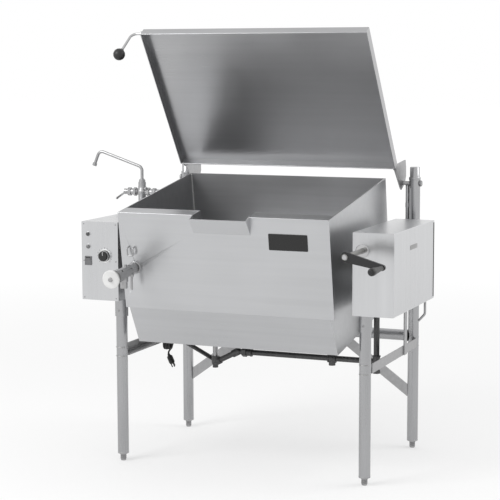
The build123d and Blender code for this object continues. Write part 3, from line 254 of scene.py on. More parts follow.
def plain_metal(name, color, roughness, grain=60.0, contrast=0.12, depth=0.00004):
    """Metal with a fine cast or machined texture."""
    finish = Finish(name, color, 1.0, roughness)
    cloud = finish.noise(grain, detail=4.0)
    wide = finish.noise(grain * METAL_WIDE)
    joined = finish.remap(finish.math("MULTIPLY", cloud, wide), 0, 1, *METAL_RANGE)
    finish.vary_color(joined, 1 - contrast, 1 + contrast)
    finish.vary_roughness(wide, 0.07, 0.10)
    finish.bump(cloud, depth)
    return finish.material


def coated(name, color, roughness, grain=220.0, depth=0.00005, wear=None, gloss=0.5):
    """Paint, plastic or rubber with a fine skin, worn light on its edges where that shows."""
    finish = Finish(name, color, 0.0, roughness, Specular_IOR_Level=gloss)
    skin_noise = finish.noise(grain)
    finish.vary_color(finish.remap(finish.noise(COAT_WIDE), 0, 1), 1 - COAT_CONTRAST, 1 + COAT_CONTRAST)
    finish.vary_roughness(skin_noise, 0.06, 0.08)
    if wear:
        rim = finish.remap(finish.edges(), 0, WEAR_SHARE, *WEAR_EDGE)
        finish.mix_color(finish.math("MULTIPLY", rim, finish.remap(skin_noise, 0, 1, *WEAR_SKIN)), wear)
    finish.bump(skin_noise, depth)
    return finish.material


def make_finishes():
    """Every finish by its name."""
    return {
        "stainless": brushed("stainless", (0.515, 0.52, 0.53), 0.33, 0),
        # A lighter copy of the stainless for the console and gearbox: painted light.
        "stainless_upright_painted_light": brushed("stainless_upright_painted_light", (0.60, 0.605, 0.615), 0.30, 2),
        # A darker copy of the stainless for the vessel and its floor, lighter on the lip outside the front wall:
        # painted shade.
        "stainless_inside_painted_shade": brushed("stainless_inside_painted_shade", (0.42, 0.422, 0.43), 0.36, 0, contrast=0.10,
                                    lip=(0.56, 0.565, 0.575)),
        # A darker copy of the stainless for the lid's panel: painted shade.
        "stainless_lid_painted_shade": brushed("stainless_lid_painted_shade", (0.44, 0.442, 0.45), 0.32, 0),
        # A darker copy of the stainless for the legs, posts and tubes: painted reflection of darker surroundings.
        "stainless_tube": brushed("stainless_tube", (0.40, 0.402, 0.41), 0.26, 2, contrast=0.05),
        "stainless_beam": brushed("stainless_beam", (0.38, 0.382, 0.39), 0.28, 0, contrast=0.05),
        "plate_steel": plain_metal("plate_steel", (0.40, 0.40, 0.405), 0.40, grain=90.0),
        "bright_metal": plain_metal("bright_metal", (0.50, 0.50, 0.505), 0.18, grain=30.0, contrast=0.05,
                                    depth=0.00001),
        "satin_metal": plain_metal("satin_metal", (0.40, 0.40, 0.405), 0.32, grain=40.0, contrast=0.06,
                                   depth=0.00001),
        "polished": plain_metal("polished", (0.80, 0.80, 0.80), 0.12, grain=30.0, contrast=0.04,
                                depth=0.00001),
        "gear_steel": plain_metal("gear_steel", (0.36, 0.355, 0.34), 0.34),
        "bronze": plain_metal("bronze", (0.50, 0.34, 0.15), 0.36),
        "cast_iron": plain_metal("cast_iron", (0.10, 0.10, 0.10), 0.62, grain=260.0, depth=0.0002),
        "gas_pipe": plain_metal("gas_pipe", (0.10, 0.10, 0.101), 0.46, grain=200.0, contrast=0.35,
                                depth=0.00012),
        "crank_paint": coated("crank_paint", (0.013, 0.013, 0.014), 0.36, wear=(0.08, 0.08, 0.08)),
        "black_plastic": coated("black_plastic", (0.012, 0.012, 0.012), 0.42),
        "grey_plastic": coated("grey_plastic", (0.16, 0.16, 0.165), 0.50),
        "lamp_lens": coated("lamp_lens", (0.05, 0.05, 0.052), 0.15, grain=80.0, gloss=0.8),
        "lamp_pale": coated("lamp_pale", (0.17, 0.17, 0.175), 0.2, grain=80.0, gloss=0.8),
        "black_plate": coated("black_plate", (0.006, 0.006, 0.006), 0.28, grain=500.0, depth=0.00001),
        "wheel_paint": coated("wheel_paint", (0.75, 0.75, 0.745), 0.38, wear=(0.5, 0.5, 0.5)),
        "cord_rubber": coated("cord_rubber", (0.010, 0.010, 0.010), 0.52, grain=400.0),
        "burner_steel": plain_metal("burner_steel", (0.20, 0.19, 0.18), 0.55, grain=150.0, contrast=0.3),
        "weld": plain_metal("weld", (0.40, 0.40, 0.395), 0.45, grain=300.0, depth=0.0001),
        # A lighter weld for the vessel's rear corners: a painted highlight.
        "weld_painted_highlight": plain_metal("weld_painted_highlight", (0.72, 0.72, 0.71), 0.45, grain=300.0, depth=0.0001),
        "pale_mark": coated("pale_mark", (0.62, 0.62, 0.62), 0.5),
        "tie_strap": coated("tie_strap", (0.02, 0.02, 0.02), 0.45),
        "grey_plate": coated("grey_plate", (0.30, 0.30, 0.30), 0.45),
    }


NODE_FINISH = {
    "stainless": ["pan_jacket", "pan_shroud"],
    "stainless_lid_painted_shade": ["lid_panel"],
    "stainless_inside_painted_shade": ["pan_vessel", "cooking_plate"],
    "stainless_upright_painted_light": ["console_shell", "console_front_panel", "gearbox_shell", "gearbox_rear_cover"],
    "stainless_tube": ["front_left_leg", "front_right_leg", "rear_left_post", "rear_right_post", "post_caps",
                       "leg_sockets", "lid_spring_tubes"],
    "stainless_beam": ["rear_crossbeam"],
    "plate_steel": ["side_rails", "rail_struts", "knee_braces", "leveling_feet", "hinge_brackets",
                    "hinge_pins", "lid_ears", "bracket_bolts", "gas_test_tap", "housing_vent_tube"],
    "polished": ["thermostat_bezel"],
    "satin_metal": ["draw_off_pipe", "valve_body", "faucet_body", "faucet_spout", "faucet_left_lever",
                    "faucet_right_lever", "strainer_hook"],
    "bright_metal": ["lid_handle"],
    "gear_steel": ["worm_shaft", "trunnions", "thermostat_body"],
    "bronze": ["worm_wheel", "valve_plunger"],
    "cast_iron": ["trunnion_bearings", "worm_bearings"],
    "gas_pipe": ["gas_line"],
    "crank_paint": ["crank_arm"],
    "black_plastic": ["crank_grip", "lid_knob", "thermostat_knob", "contactor", "cord_gland"],
    "grey_plastic": ["switch_body", "switch_rocker", "ignition_module"],
    "lamp_lens": ["pilot_lights"],
    "black_plate": ["name_plate"],
    "wheel_paint": ["valve_handwheel"],
    "cord_rubber": ["power_cord", "cord_hank", "power_plug"],
    "burner_steel": ["burner_tubes"],
}
SHARP_ANGLE = math.radians(32)
PLATE_BEVEL = 0.0009
MERGE_REACH = 0.00001
BEVEL_NODES = {"hinge_brackets", "knee_braces", "rail_struts", "side_rails", "name_plate", "crank_arm",
               "contactor", "ignition_module", "leveling_feet"}


def dress_nodes(finishes):
    """Gives every listed CAD node its finish, welds its split vertices, and softens the edges of some."""
    for name, members in NODE_FINISH.items():
        for node in members:
            piece = NODES[node]
            piece.data.materials.clear()
            piece.data.materials.append(finishes[name])
            weld = piece.modifiers.new("weld", "WELD")
            weld.merge_threshold = MERGE_REACH
            if node in BEVEL_NODES:
                bevel = piece.modifiers.new("edges", "BEVEL")
                bevel.width = PLATE_BEVEL
                bevel.segments = 2
                bevel.limit_method = "ANGLE"
                bevel.angle_limit = SHARP_ANGLE
                bevel.use_clamp_overlap = True
                bevel.harden_normals = True


# Piece makers

SCREW_SHAPE = [(0, 1), (0.45, 1), (0.85, 0.82), (1, 0.5), (0.45, 0.42)]
SCREW_H = 0.6
PANEL_SCREW_IN = 9.0
PANEL_SCREW_R = 2.6
WASHER_R = 0.68
WASHER_T = 0.1
HEAD_SHAPE = [(0, 1), (0.38, 1), (0.46, 0.86)]
BEAD_SIDES = 8
BEAD_RIPPLE = 0.78
BEAD_END = 0.5
CORNER_STEPS = 4


def basis(direction):
    """A turn that takes Z to a direction."""
    return Vector(direction).to_track_quat("Z", "Y").to_matrix().to_4x4()


def mm(profile, radius=0.0):
    """A turned profile from its millimetres, with its radii counted from a radius in metres."""
    return [(along * MM, radius + out * MM) for along, out in profile]


def ribs(count, pitch, points):
    """A ribbed profile: points are (along, radius, what the radius gains from rib to rib)."""
    return [(along + i * pitch, radius + gain * i) for i in range(count) for along, radius, gain in points]


def new_mesh(name, bm):
    """A mesh from a bmesh, with its faces turned outwards."""
    bmesh.ops.recalc_face_normals(bm, faces=bm.faces)
    mesh = bpy.data.meshes.new(name)
    bm.to_mesh(mesh)
    bm.free()
    return mesh


def add_piece(name, data, material, body):
    """Links a mesh or a curve with its material, and makes it ride on its body."""
    piece = bpy.data.objects.new(name, data)
    bpy.context.scene.collection.objects.link(piece)
    data.materials.append(material)
    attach(piece, body)
    return piece


def finish_piece(name, bm, material, body, smooth=True):
    """One piece from a bmesh, with its round faces smooth."""
    mesh = new_mesh(name, bm)
    if smooth:
        mesh.polygons.foreach_set("use_smooth", [True] * len(mesh.polygons))
        mesh.set_sharp_from_angle(angle=SHARP_ANGLE)
    return add_piece(name, mesh, material, body)


def skin(bm, loops, closed=False):
    """Faces from loop to loop, with a cap at both ends, or closed into a ring."""
    for first, second in zip(loops, loops[1:] + (loops[:1] if closed else [])):
        for i in range(len(first)):
            j = (i + 1) % len(first)
            bm.faces.new((first[i], first[j], second[j], second[i]))
    if not closed:
        bm.faces.new(list(reversed(loops[0])))
        bm.faces.new(loops[-1])


def lathe_mesh(bm, start, direction, profile, sides=32):
    """Adds a turned form: profile is (distance along, radius), with a flat cap at both ends."""
    turn = Matrix.Translation(start) @ basis(direction)
    loops = []
    for along, radius in profile:
        loop = []
        for i in range(sides):
            angle = 2 * math.pi * i / sides
            point = Vector((radius * math.cos(angle), radius * math.sin(angle), along))
            loop.append(bm.verts.new(turn @ point))
        loops.append(loop)
    skin(bm, loops)


def lathe(name, start, direction, profile, material, body, sides=32):
    """One turned piece."""
    bm = bmesh.new()
    lathe_mesh(bm, start, direction, profile, sides)
    return finish_piece(name, bm, material, body)


def screws(name, places, direction, radius, material, body, height=None):
    """Domed screw heads with a drilled recess, at several places."""
    height = height or radius * SCREW_H
    bm = bmesh.new()
    for place in places:
        lathe_mesh(bm, place, direction, [(height * a, radius * r) for a, r in SCREW_SHAPE], 20)
    return finish_piece(name, bm, material, body)


def panel_screws(name, low, high, y, direction, material):
    """Six screws along both upright edges of a housing's front or rear."""
    inset = PANEL_SCREW_IN * MM
    places = [Vector((x, y, z)) for x in (low.x + inset, high.x - inset)
              for z in (low.z + inset, (low.z + high.z) / 2, high.z - inset)]
    screws(name, places, direction, PANEL_SCREW_R * MM, material, "stand")


def bolt(name, place, direction, across, material, body):
    """A hexagon head with its washer."""
    corner = across / 2 / math.cos(math.radians(30))
    washer = WASHER_R * across
    bm = bmesh.new()
    lathe_mesh(bm, place, direction, [(0, washer), (across * WASHER_T, washer)], 24)
    foot = place + Vector(direction).normalized() * across * WASHER_T
    lathe_mesh(bm, foot, direction, [(across * a, corner * r) for a, r in HEAD_SHAPE], 6)
    return finish_piece(name, bm, material, body)


def curve_piece(name, points, radius, material, body, ring=3, steps=8):
    """A round bar or bead along a smooth line."""
    data = bpy.data.curves.new(name, "CURVE")
    data.dimensions = "3D"
    data.bevel_depth = radius
    data.bevel_resolution = ring
    data.resolution_u = steps
    data.use_fill_caps = True
    spline = data.splines.new("NURBS")
    spline.points.add(len(points) - 1)
    for knot, point in zip(spline.points, points):
        knot.co = (*point, 1)
    spline.order_u = 3
    spline.use_endpoint_u = True
    return add_piece(name, data, material, body)


def straight(name, start, end, radius, material, body, ring=3):
    """A round bead from one point to another."""
    return curve_piece(name, [start, (start + end) / 2, end], radius, material, body, ring)


def weld_bead(name, paths, radius, material, body, pitch=4.0):
    """Rippled weld beads along straight or curved paths."""
    bm = bmesh.new()
    for path in paths:
        points = [Vector(p) for p in path]
        lengths = [(b - a).length for a, b in zip(points, points[1:])]
        total = sum(lengths)
        count = max(4, int(total / (pitch * MM) * 2))
        loops = []
        for k in range(count + 1):
            want = total * k / count
            i = 0
            while i < len(lengths) - 1 and want > lengths[i]:
                want -= lengths[i]
                i += 1
            place = points[i].lerp(points[i + 1], min(1, want / lengths[i]))
            turn = basis(points[i + 1] - points[i])
            size = radius * MM * (1.0 if k % 2 else BEAD_RIPPLE) * (BEAD_END if k in (0, count) else 1.0)
            loop = []
            for s in range(BEAD_SIDES):
                angle = 2 * math.pi * s / BEAD_SIDES
                point = Vector((size * math.cos(angle), size * math.sin(angle), 0))
                loop.append(bm.verts.new(place + turn @ point))
            loops.append(loop)
        skin(bm, loops)
    return finish_piece(name, bm, material, body)


def ring_path(centre, direction, radius, start=0.0, end=360.0, steps=24):
    """Points round a circle."""
    turn = basis(direction)
    points = []
    for i in range(steps + 1):
        angle = math.radians(start + (end - start) * i / steps)
        points.append(Vector(centre) + turn @ Vector((radius * math.cos(angle), radius * math.sin(angle), 0)))
    return points


def rounded_outline(half_w, half_h, corner, steps):
    """Points round a rectangle with rounded corners."""
    outline = []
    for sx, sy, start in ((1, 1, 0), (-1, 1, 90), (-1, -1, 180), (1, -1, 270)):
        for i in range(steps + 1):
            angle = math.radians(start + (90 * i / steps if steps else 45))
            outline.append((sx * (half_w - corner) + corner * math.cos(angle),
                            sy * (half_h - corner) + corner * math.sin(angle)))
    return outline


def plate_mesh(bm, centre, across, up, size, thick, corner=0.0, bevel=0.0):
    """Adds a flat plate with rounded corners, standing out along across x up, from its millimetres."""
    across = Vector(across).normalized()
    up = Vector(up).normalized()
    out = across.cross(up)
    half_w, half_h = size[0] / 2, size[1] / 2
    levels = [(0, 0), (thick - bevel, 0)]
    if bevel:
        levels.append((thick, bevel))
    loops = []
    for depth, inset in levels:
        loop = []
        for x, y in rounded_outline(half_w, half_h, corner, CORNER_STEPS if corner else 0):
            x *= 1 - inset / half_w
            y *= 1 - inset / half_h
            loop.append(bm.verts.new(Vector(centre) + (across * x + up * y + out * depth) * MM))
        loops.append(loop)
    skin(bm, loops)


def plate(name, centre, across, up, size, thick, material, corner=0.0, bevel=0.4):
    """One flat plate of that width and height, on the stand."""
    bm = bmesh.new()
    plate_mesh(bm, centre, across, up, size, thick, corner, bevel)
    return finish_piece(name, bm, material, "stand", smooth=False)


# Power cord

CORD_D = 7.0
CORD_ROUTE = [(-439.0, -2.0, 636.0), (-430.0, -2.0, 636.0), (-424.0, -2.0, 629.0), (-423.3, -2.4, 614.0),
              (-424.4, -1.8, 592.0), (-424.0, -2.0, 569.0)]
TAIL_ROUTE = [(-424.0, -2.0, 361.0), (-422.5, -4.0, 352.0), (-417.0, -8.0, 345.0)]
HANK_X = -424.0
HANK_Y = -2.0
HANK_TOP = 546.0
HANK_LOW = 370.0
HANK_HALF = 20.5
HANK_TURNS = 4
HANK_PACK = 1.03
HANK_ENTRY = (6.0, 9.0, -4.0)
HANK_LOOSE = 0.04
HANK_LOOSE_STEP = 2.4
HANK_WAIST = 0.98
FRONT_RUN_IN = 12.0
REAR_RUN_IN = 14.0
FOLD_STEPS = 6
FOLD_HIGH = 1.04
FOLD_WIDE = 1.02
LAST_RUN = (0.9, 6.0)
HANK_EXIT = (0.4, 4.0)
STRAP_T = 1.3
STRAP_HALF_H = 5.0
STRAP_CORNER = 5.0
STRAP_GAP_X = 1.5
STRAP_GAP_Y = 1.0
PLUG_L = 30.0
PLUG_R = 11.0
NECK_L = 10.0
NECK_RIB = [(0, 5.0, 0.5), (1.2, 5.0, 0.5), (1.3, 4.2, 0.5), (2.1, 4.2, 0.5)]
PLUG_SHAPE = [(0, 8.0), (2, 9.6), (6, PLUG_R - 0.3), (14, PLUG_R + 0.2), (15, PLUG_R - 0.6),
              (17, PLUG_R - 0.6), (18, PLUG_R + 0.2), (26, PLUG_R + 0.2), (PLUG_L + 0.4, PLUG_R - 1.0)]
GLAND_BACK = 9.0
GLAND_FOOT = [(-1, 6.4), (1.5, 6.2)]
GLAND_RIB = [(2, 5.9, -0.35), (3.4, 5.8, -0.35), (3.5, 4.8, -0.25), (4.4, 4.8, -0.25)]


def hank_points():
    """The hank's turns as one line: racetrack loops that lie side by side."""
    top = HANK_TOP - CORD_D / 2 - HANK_HALF
    low = HANK_LOW + CORD_D / 2 + HANK_HALF
    half_way = (top + low) / 2
    step = CORD_D * HANK_PACK
    first_x = HANK_X - step * HANK_TURNS / 2
    front = HANK_Y + HANK_HALF
    rear = HANK_Y - HANK_HALF
    points = [(first_x + HANK_ENTRY[0], HANK_Y + HANK_ENTRY[1], HANK_TOP + HANK_ENTRY[2])]
    for turn in range(HANK_TURNS + 1):
        loose = 1 + HANK_LOOSE * math.sin(HANK_LOOSE_STEP * turn)
        x = first_x + step * turn
        points += [(x, front, top - FRONT_RUN_IN), (x, HANK_Y + HANK_HALF * HANK_WAIST, half_way)]
        if turn == HANK_TURNS:
            points.append((x, HANK_Y + HANK_HALF * LAST_RUN[0], low + LAST_RUN[1]))
            break
        points.append((x, front, low + FRONT_RUN_IN))
        for centre, start in ((low, 0), (top, 180)):
            for i in range(FOLD_STEPS + 1):
                angle = math.radians(start - 180 * i / FOLD_STEPS)
                share = i / FOLD_STEPS / 2 + (0.5 if start else 0)
                z = centre + HANK_HALF * FOLD_HIGH * math.sin(angle) * loose
                points.append((x + step * share, HANK_Y + HANK_HALF * FOLD_WIDE * math.cos(angle), z))
            if start == 0:
                back_x = x + step * 0.5
                points += [(back_x, rear, low + REAR_RUN_IN),
                           (back_x, HANK_Y - HANK_HALF * HANK_WAIST, half_way),
                           (back_x, rear, top - REAR_RUN_IN)]
    points.append(((points[-1][0] + HANK_X) / 2, HANK_Y + HANK_HALF * HANK_EXIT[0], HANK_LOW + HANK_EXIT[1]))
    return points


def make_cord(finishes):
    """The power cord on one smooth line, with its tie, its strain relief and its plug's trim."""
    route = [at(*p) for p in CORD_ROUTE + hank_points() + TAIL_ROUTE]
    flex = curve_piece("power_cord_flex", route, CORD_D / 2 * MM, finishes["cord_rubber"], "stand",
                       ring=4, steps=12)
    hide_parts("power_cord", "cord_hank")
    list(make_cord_trim(finishes))


def make_cord_trim(finishes):
    """The strap round the hank, the plug's neck and shell, and the sleeve at the console."""
    half_t = CORD_D * (HANK_TURNS + 1) / 2 + STRAP_GAP_X
    half_w = HANK_HALF + CORD_D / 2 + STRAP_GAP_Y
    middle_z = (HANK_TOP + HANK_LOW) / 2
    bm = bmesh.new()
    loops = []
    for grow, dz in ((0, -STRAP_HALF_H), (STRAP_T, -STRAP_HALF_H),
                     (STRAP_T, STRAP_HALF_H), (0, STRAP_HALF_H)):
        loop = []
        for x, y in rounded_outline(half_t, half_w, STRAP_CORNER, 3):
            out = Vector((x, y, 0)).normalized() * grow
            loop.append(bm.verts.new(at(HANK_X + x + out.x, HANK_Y + y + out.y, middle_z + dz)))
        loops.append(loop)
    skin(bm, loops, closed=True)
    strap = finish_piece("hank_strap", bm, finishes["tie_strap"], "stand")
    end = Vector(TAIL_ROUTE[-1])
    ray = (end - Vector(TAIL_ROUTE[-2])).normalized()
    gland = Vector(CORD_ROUTE[0]) - X * GLAND_BACK
    pieces = [strap]
    for name, start, direction, profile, sides in (
            ("plug_neck", end - ray * NECK_L, ray, ribs(5, 2.2, NECK_RIB), 24),
            ("plug_shell", end, ray, PLUG_SHAPE, 36),
            ("gland_sleeve", gland, X, GLAND_FOOT + ribs(4, 2.6, GLAND_RIB), 28)):
        pieces.append(lathe(name, at(*start), direction, mm(profile), finishes["cord_rubber"], "stand",
                            sides))
    return pieces


# Console

DIAL_MARKS = 13
DIAL_START = 225.0
DIAL_SWEEP = 270.0
DIAL_GAP = 3.5
MARK_W = 0.9
MARK_LONG = 4.0
MARK_SHORT = 2.4
MARK_T = 0.25
POINTER_UP = 9.0
POINTER_SIZE = (1.8, 13.0)
POINTER_T = 0.3
KNOB_RING_BACK = 8.2
KNOB_RING = [(0, 20.9), (1.6, 20.9), (2.4, 20.2), (2.4, 18.4), (0.6, 18.2)]
LAMP_COLLAR = [(0, 2.2), (1.4, 1.8), (1.8, 0.4), (0.2, 0)]
LAMP_DOME = [(5.6, 0.93), (6.6, 0.8), (7.3, 0.55), (7.7, 0.22)]
BASE_SCREW_IN = (20.0, 40.0)
BASE_SCREW_R = 4.0
SEAM_UP = 1.5
SEAM_OUT = 0.1
SEAM_SHORT = 4.0
SEAM_R = 0.6


def make_console_details(finishes):
    """Screws, dial marks, the knob's pointer and ring, lamp collars and domes, and a seam on the console."""
    low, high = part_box("console_shell")
    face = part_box("console_front_panel")[0].y
    steel = finishes["plate_steel"]
    bright = finishes["bright_metal"]
    panel_screws("console_screws", low, high, face, -Y, steel)
    knob, _ = joint("knob_turn")
    bezel_low, bezel_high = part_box("thermostat_bezel")
    radius = (bezel_high.x - bezel_low.x) / 2 + DIAL_GAP * MM
    bm = bmesh.new()
    for i in range(DIAL_MARKS):
        angle = math.radians(DIAL_START - DIAL_SWEEP * i / (DIAL_MARKS - 1))
        out = Vector((math.cos(angle), 0, math.sin(angle)))
        centre = Vector((knob.x, face, knob.z)) + out * radius
        plate_mesh(bm, centre, Y.cross(out), out, (MARK_W, MARK_SHORT if i % 3 else MARK_LONG), MARK_T)
    finish_piece("dial_marks", bm, finishes["black_plate"], "stand", False)
    knob_face = Vector((knob.x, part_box("thermostat_knob")[0].y, knob.z))
    bm = bmesh.new()
    plate_mesh(bm, knob_face + Z * POINTER_UP * MM, X, Z, POINTER_SIZE, POINTER_T)
    finish_piece("knob_pointer", bm, finishes["pale_mark"], "thermostat", False)
    lathe("knob_skirt_ring", knob_face + Y * KNOB_RING_BACK * MM, -Y, mm(KNOB_RING), bright, "thermostat",
          48)
    lamp_low, lamp_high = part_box("pilot_lights")
    lamp_x = (lamp_low.x + lamp_high.x) / 2
    lamp_r = (lamp_high.x - lamp_low.x) / 2
    dome = [(along * MM, lamp_r * share) for along, share in LAMP_DOME]
    for name, z, lens in (("upper", lamp_high.z - lamp_r, "lamp_lens"),
                          ("lower", lamp_low.z + lamp_r, "lamp_pale")):
        place = Vector((lamp_x, face, z))
        lathe(f"lamp_collar_{name}", place, -Y, mm(LAMP_COLLAR, lamp_r), bright, "stand")
        lathe(f"lamp_dome_{name}", place, -Y, dome, finishes[lens], "stand")
    in_x, in_y = (inset * MM for inset in BASE_SCREW_IN)
    places = [Vector((x, y, low.z)) for x in (low.x + in_x, high.x - in_x)
              for y in (low.y + in_y, high.y - in_y)]
    screws("console_base_screws", places, -Z, BASE_SCREW_R * MM, steel, "stand")
    start = Vector((low.x - SEAM_OUT * MM, low.y + SEAM_SHORT * MM, low.z + SEAM_UP * MM))
    straight("console_seam", start, Vector((start.x, high.y - SEAM_SHORT * MM, start.z)), SEAM_R * MM,
             finishes["weld"], "stand", ring=1)


# Gearbox and crank

SIDE_PLATE_BACK = 230.0
SIDE_PLATE_DOWN = 68.0
SIDE_PLATE_SIZE = (84.0, 16.0)
SIDE_PLATE_T = 0.8
SIDE_PLATE_CORNER = 2.0
RIVET_OUT = 37.0
RIVET_R = 1.6
RIVET_H = 0.7
# The dark strip of painted shadow along the gearbox's rear edge.
SHADOW_STRIP_IN = 7.0
SHADOW_STRIP_W = 12.0
SHADOW_STRIP_SHORT = 16.0
SHADOW_STRIP_T = 0.4
SHADOW_STRIP_BEVEL = 0.1
HUB_SCREW_IN = 6.6
HUB_SCREW_ACROSS = 15.0
CRANK_COLLAR = [(-0.2, 22.2), (-0.2, 23.2), (7.6, 23.2), (9.3, 21.4), (9.3, 9.6), (9.0, 9.3)]
GRIP_SHAPE = [(0.02, 0.55), (0.03, 0.60), (0.30, 0.66), (0.55, 0.80), (0.75, 0.95), (0.86, 1.0), (0.93, 0.96),
              (0.975, 0.80), (0.995, 0.60), (0.998, 0.45)]


def make_gearbox_details(finishes):
    """The gearbox's plain side plate and screws, a dark strip of painted shadow along its rear edge, and the
    crank's hub screw, collar and grip.
    """
    low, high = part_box("gearbox_shell")
    steel = finishes["plate_steel"]
    bright = finishes["bright_metal"]
    place = Vector((high.x, low.y + SIDE_PLATE_BACK * MM, high.z - SIDE_PLATE_DOWN * MM))
    plate("gearbox_side_plate", place, Y, Z, SIDE_PLATE_SIZE, SIDE_PLATE_T, finishes["grey_plate"],
          SIDE_PLATE_CORNER)
    rivets = [place + X * SIDE_PLATE_T * MM + Y * y * MM for y in (-RIVET_OUT, RIVET_OUT)]
    screws("side_plate_rivets", rivets, X, RIVET_R * MM, steel, "stand", RIVET_H * MM)
    # A dark rubber strip along the gearbox's rear edge stands in for the shadow gap at its rear cover: painted
    # shadow.
    plate("gearbox_shadow_strip", Vector((high.x, high.y - SHADOW_STRIP_IN * MM, (low.z + high.z) / 2)), Y, Z,
          (SHADOW_STRIP_W, (high.z - low.z) / MM - SHADOW_STRIP_SHORT), SHADOW_STRIP_T, finishes["cord_rubber"],
          bevel=SHADOW_STRIP_BEVEL)
    panel_screws("gearbox_screws", low, high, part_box("gearbox_rear_cover")[1].y, Y, steel)
    crank_at, _ = joint("crank_turn")
    hub = Vector((crank_at.x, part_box("worm_shaft")[0].y, crank_at.z))
    bolt("crank_hub_screw", hub + Y * HUB_SCREW_IN * MM, -Y, HUB_SCREW_ACROSS * MM, bright, "crank")
    lathe("crank_collar_cover", Vector((crank_at.x, low.y, crank_at.z)), -Y, mm(CRANK_COLLAR), bright,
          "stand", 44)
    grip_at, _ = joint("grip_spin")
    grip_low, grip_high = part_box("crank_grip")
    radius = (grip_high.x - grip_low.x) / 2
    length = grip_high.y - grip_low.y
    grip = lathe("crank_grip_turned", Vector((grip_at.x, grip_high.y, grip_at.z)), -Y,
                 [(length * a, radius * r) for a, r in GRIP_SHAPE], finishes["black_plastic"], "grip",
                 40)
    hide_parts("crank_grip")


# Pan

SIDE_IN = 1.0
WALL_IN = 5.0
BEAD_DROP = 1.5
SIDE_BEAD_R = 1.7
FRONT_BEAD_R = 1.5
LIP_GAP = 4.0
REAR_WALL_IN = 6.0
CORNER_WELD_DROP = 2.0
FLOOR_WELD_IN = (4.0, 8.0)


def make_pan_details(finishes):
    """Beads along the rim, and welds in the vessel's rear corners and round its floor."""
    low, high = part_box("pan_jacket")
    steel = finishes["stainless"]
    half = (high.x - low.x) / 2 - SIDE_IN * MM
    slope = math.radians(RIM_SLOPE)
    up = Vector((0, -math.sin(slope), math.cos(slope)))
    front = at(0, RIM_Y, RIM_Z) - up * BEAD_DROP * MM
    rear = front + (Y * math.cos(slope) + Z * math.sin(slope)) * PAN_D * MM
    for name, start, end in (("left", front - X * half, rear - X * half),
                             ("right", front + X * half, rear + X * half),
                             ("rear", rear - X * half, rear + X * half)):
        straight(f"rim_bead_{name}", start, end, SIDE_BEAD_R * MM, steel, "pan")
    lip = (LIP_HALF_W + LIP_GAP) * MM
    for name, x0, x1 in (("left", -half, -lip), ("right", lip, half)):
        straight(f"rim_bead_front_{name}", front + X * x0, front + X * x1, FRONT_BEAD_R * MM, steel, "pan")
    floor_low, floor_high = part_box("cooking_plate")
    floor_z = floor_high.z
    rear_in = rear - Y * REAR_WALL_IN * MM
    foot_y = rear_in.y + (rear_in.z - floor_z) * math.tan(math.radians(FACE_LEAN))
    paths = []
    for x in (WALL_IN * MM - half, half - WALL_IN * MM):
        top = rear_in + X * x
        paths.append([top - Z * CORNER_WELD_DROP * MM, Vector((top.x, foot_y, floor_z))])
    # The rear corner welds take the lighter weld: a painted highlight.
    weld_bead("vessel_corner_welds", paths, 3.0, finishes["weld_painted_highlight"], "pan", 6.0)
    in_x, in_y = (inset * MM for inset in FLOOR_WELD_IN)
    x0, x1, y0, y1 = floor_low.x + in_x, floor_high.x - in_x, floor_low.y + in_y, floor_high.y - in_y
    ring = [Vector((x, y, floor_z)) for x, y in ((x0, y0), (x1, y0), (x1, y1), (x0, y1), (x0, y0))]
    weld_bead("vessel_floor_weld", [ring], 2.0, finishes["weld"], "pan", 8.0)


# Lid

KNOB_RINGS = 12
KNOB_NECK = [(1.02, 0.42), (1.18, 0.38)]
HEM_RISE = 1.7
HEM_IN = 1.0
HEM_R = 1.6
LID_WELD_SIDE = 2.5
LID_WELD_END = 3.2
LID_WELD_RISE = (1.0, 31.0)


def make_lid_details(finishes):
    """The handle's knob, the lid's hemmed edges and the welds in its corners."""
    knob_low, knob_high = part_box("lid_knob")
    radius = (knob_high.x - knob_low.x) / 2
    opening = math.radians(LID_OPEN)
    normal = Vector((0, math.sin(opening), math.cos(opening)))
    centre = Vector((middle("lid_knob").x, knob_low.y + radius, knob_low.z + radius))
    shape = []
    for i in range(1, KNOB_RINGS):
        angle = math.radians(-90 + 180 * i / KNOB_RINGS)
        shape.append((radius * math.sin(angle), radius * math.cos(angle)))
    shape += [(radius * a, radius * r) for a, r in KNOB_NECK]
    knob = lathe("lid_knob_turned", centre, normal, shape, finishes["black_plastic"], "lid",
                 14)
    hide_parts("lid_knob")
    back = at(0, LID_BACK_Y, LID_BACK_Z)
    along = Vector((0, -math.cos(opening), math.sin(opening)))
    low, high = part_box("lid_panel")
    half = (high.x - low.x) / 2 - HEM_IN * MM
    length = LID_L * MM
    edge = back + normal * HEM_RISE * MM
    rear = edge + along * HEM_IN * MM
    front = edge + along * (length - HEM_IN * MM)
    corners = [rear - X * half, rear + X * half, front + X * half, front - X * half]
    for i, name in enumerate(("rear", "right", "front", "left")):
        straight(f"lid_hem_{name}", corners[i], corners[(i + 1) % 4], HEM_R * MM, finishes["stainless"],
                 "lid")
    inner = half - LID_WELD_SIDE * MM
    paths = []
    for sign in (-1, 1):
        for place in (LID_WELD_END * MM, length - LID_WELD_END * MM):
            foot = back + X * sign * inner + along * place
            paths.append([foot + normal * rise * MM for rise in LID_WELD_RISE])
    weld_bead("lid_corner_welds", paths, 1.5, finishes["weld"], "lid", 5.0)


# Stand

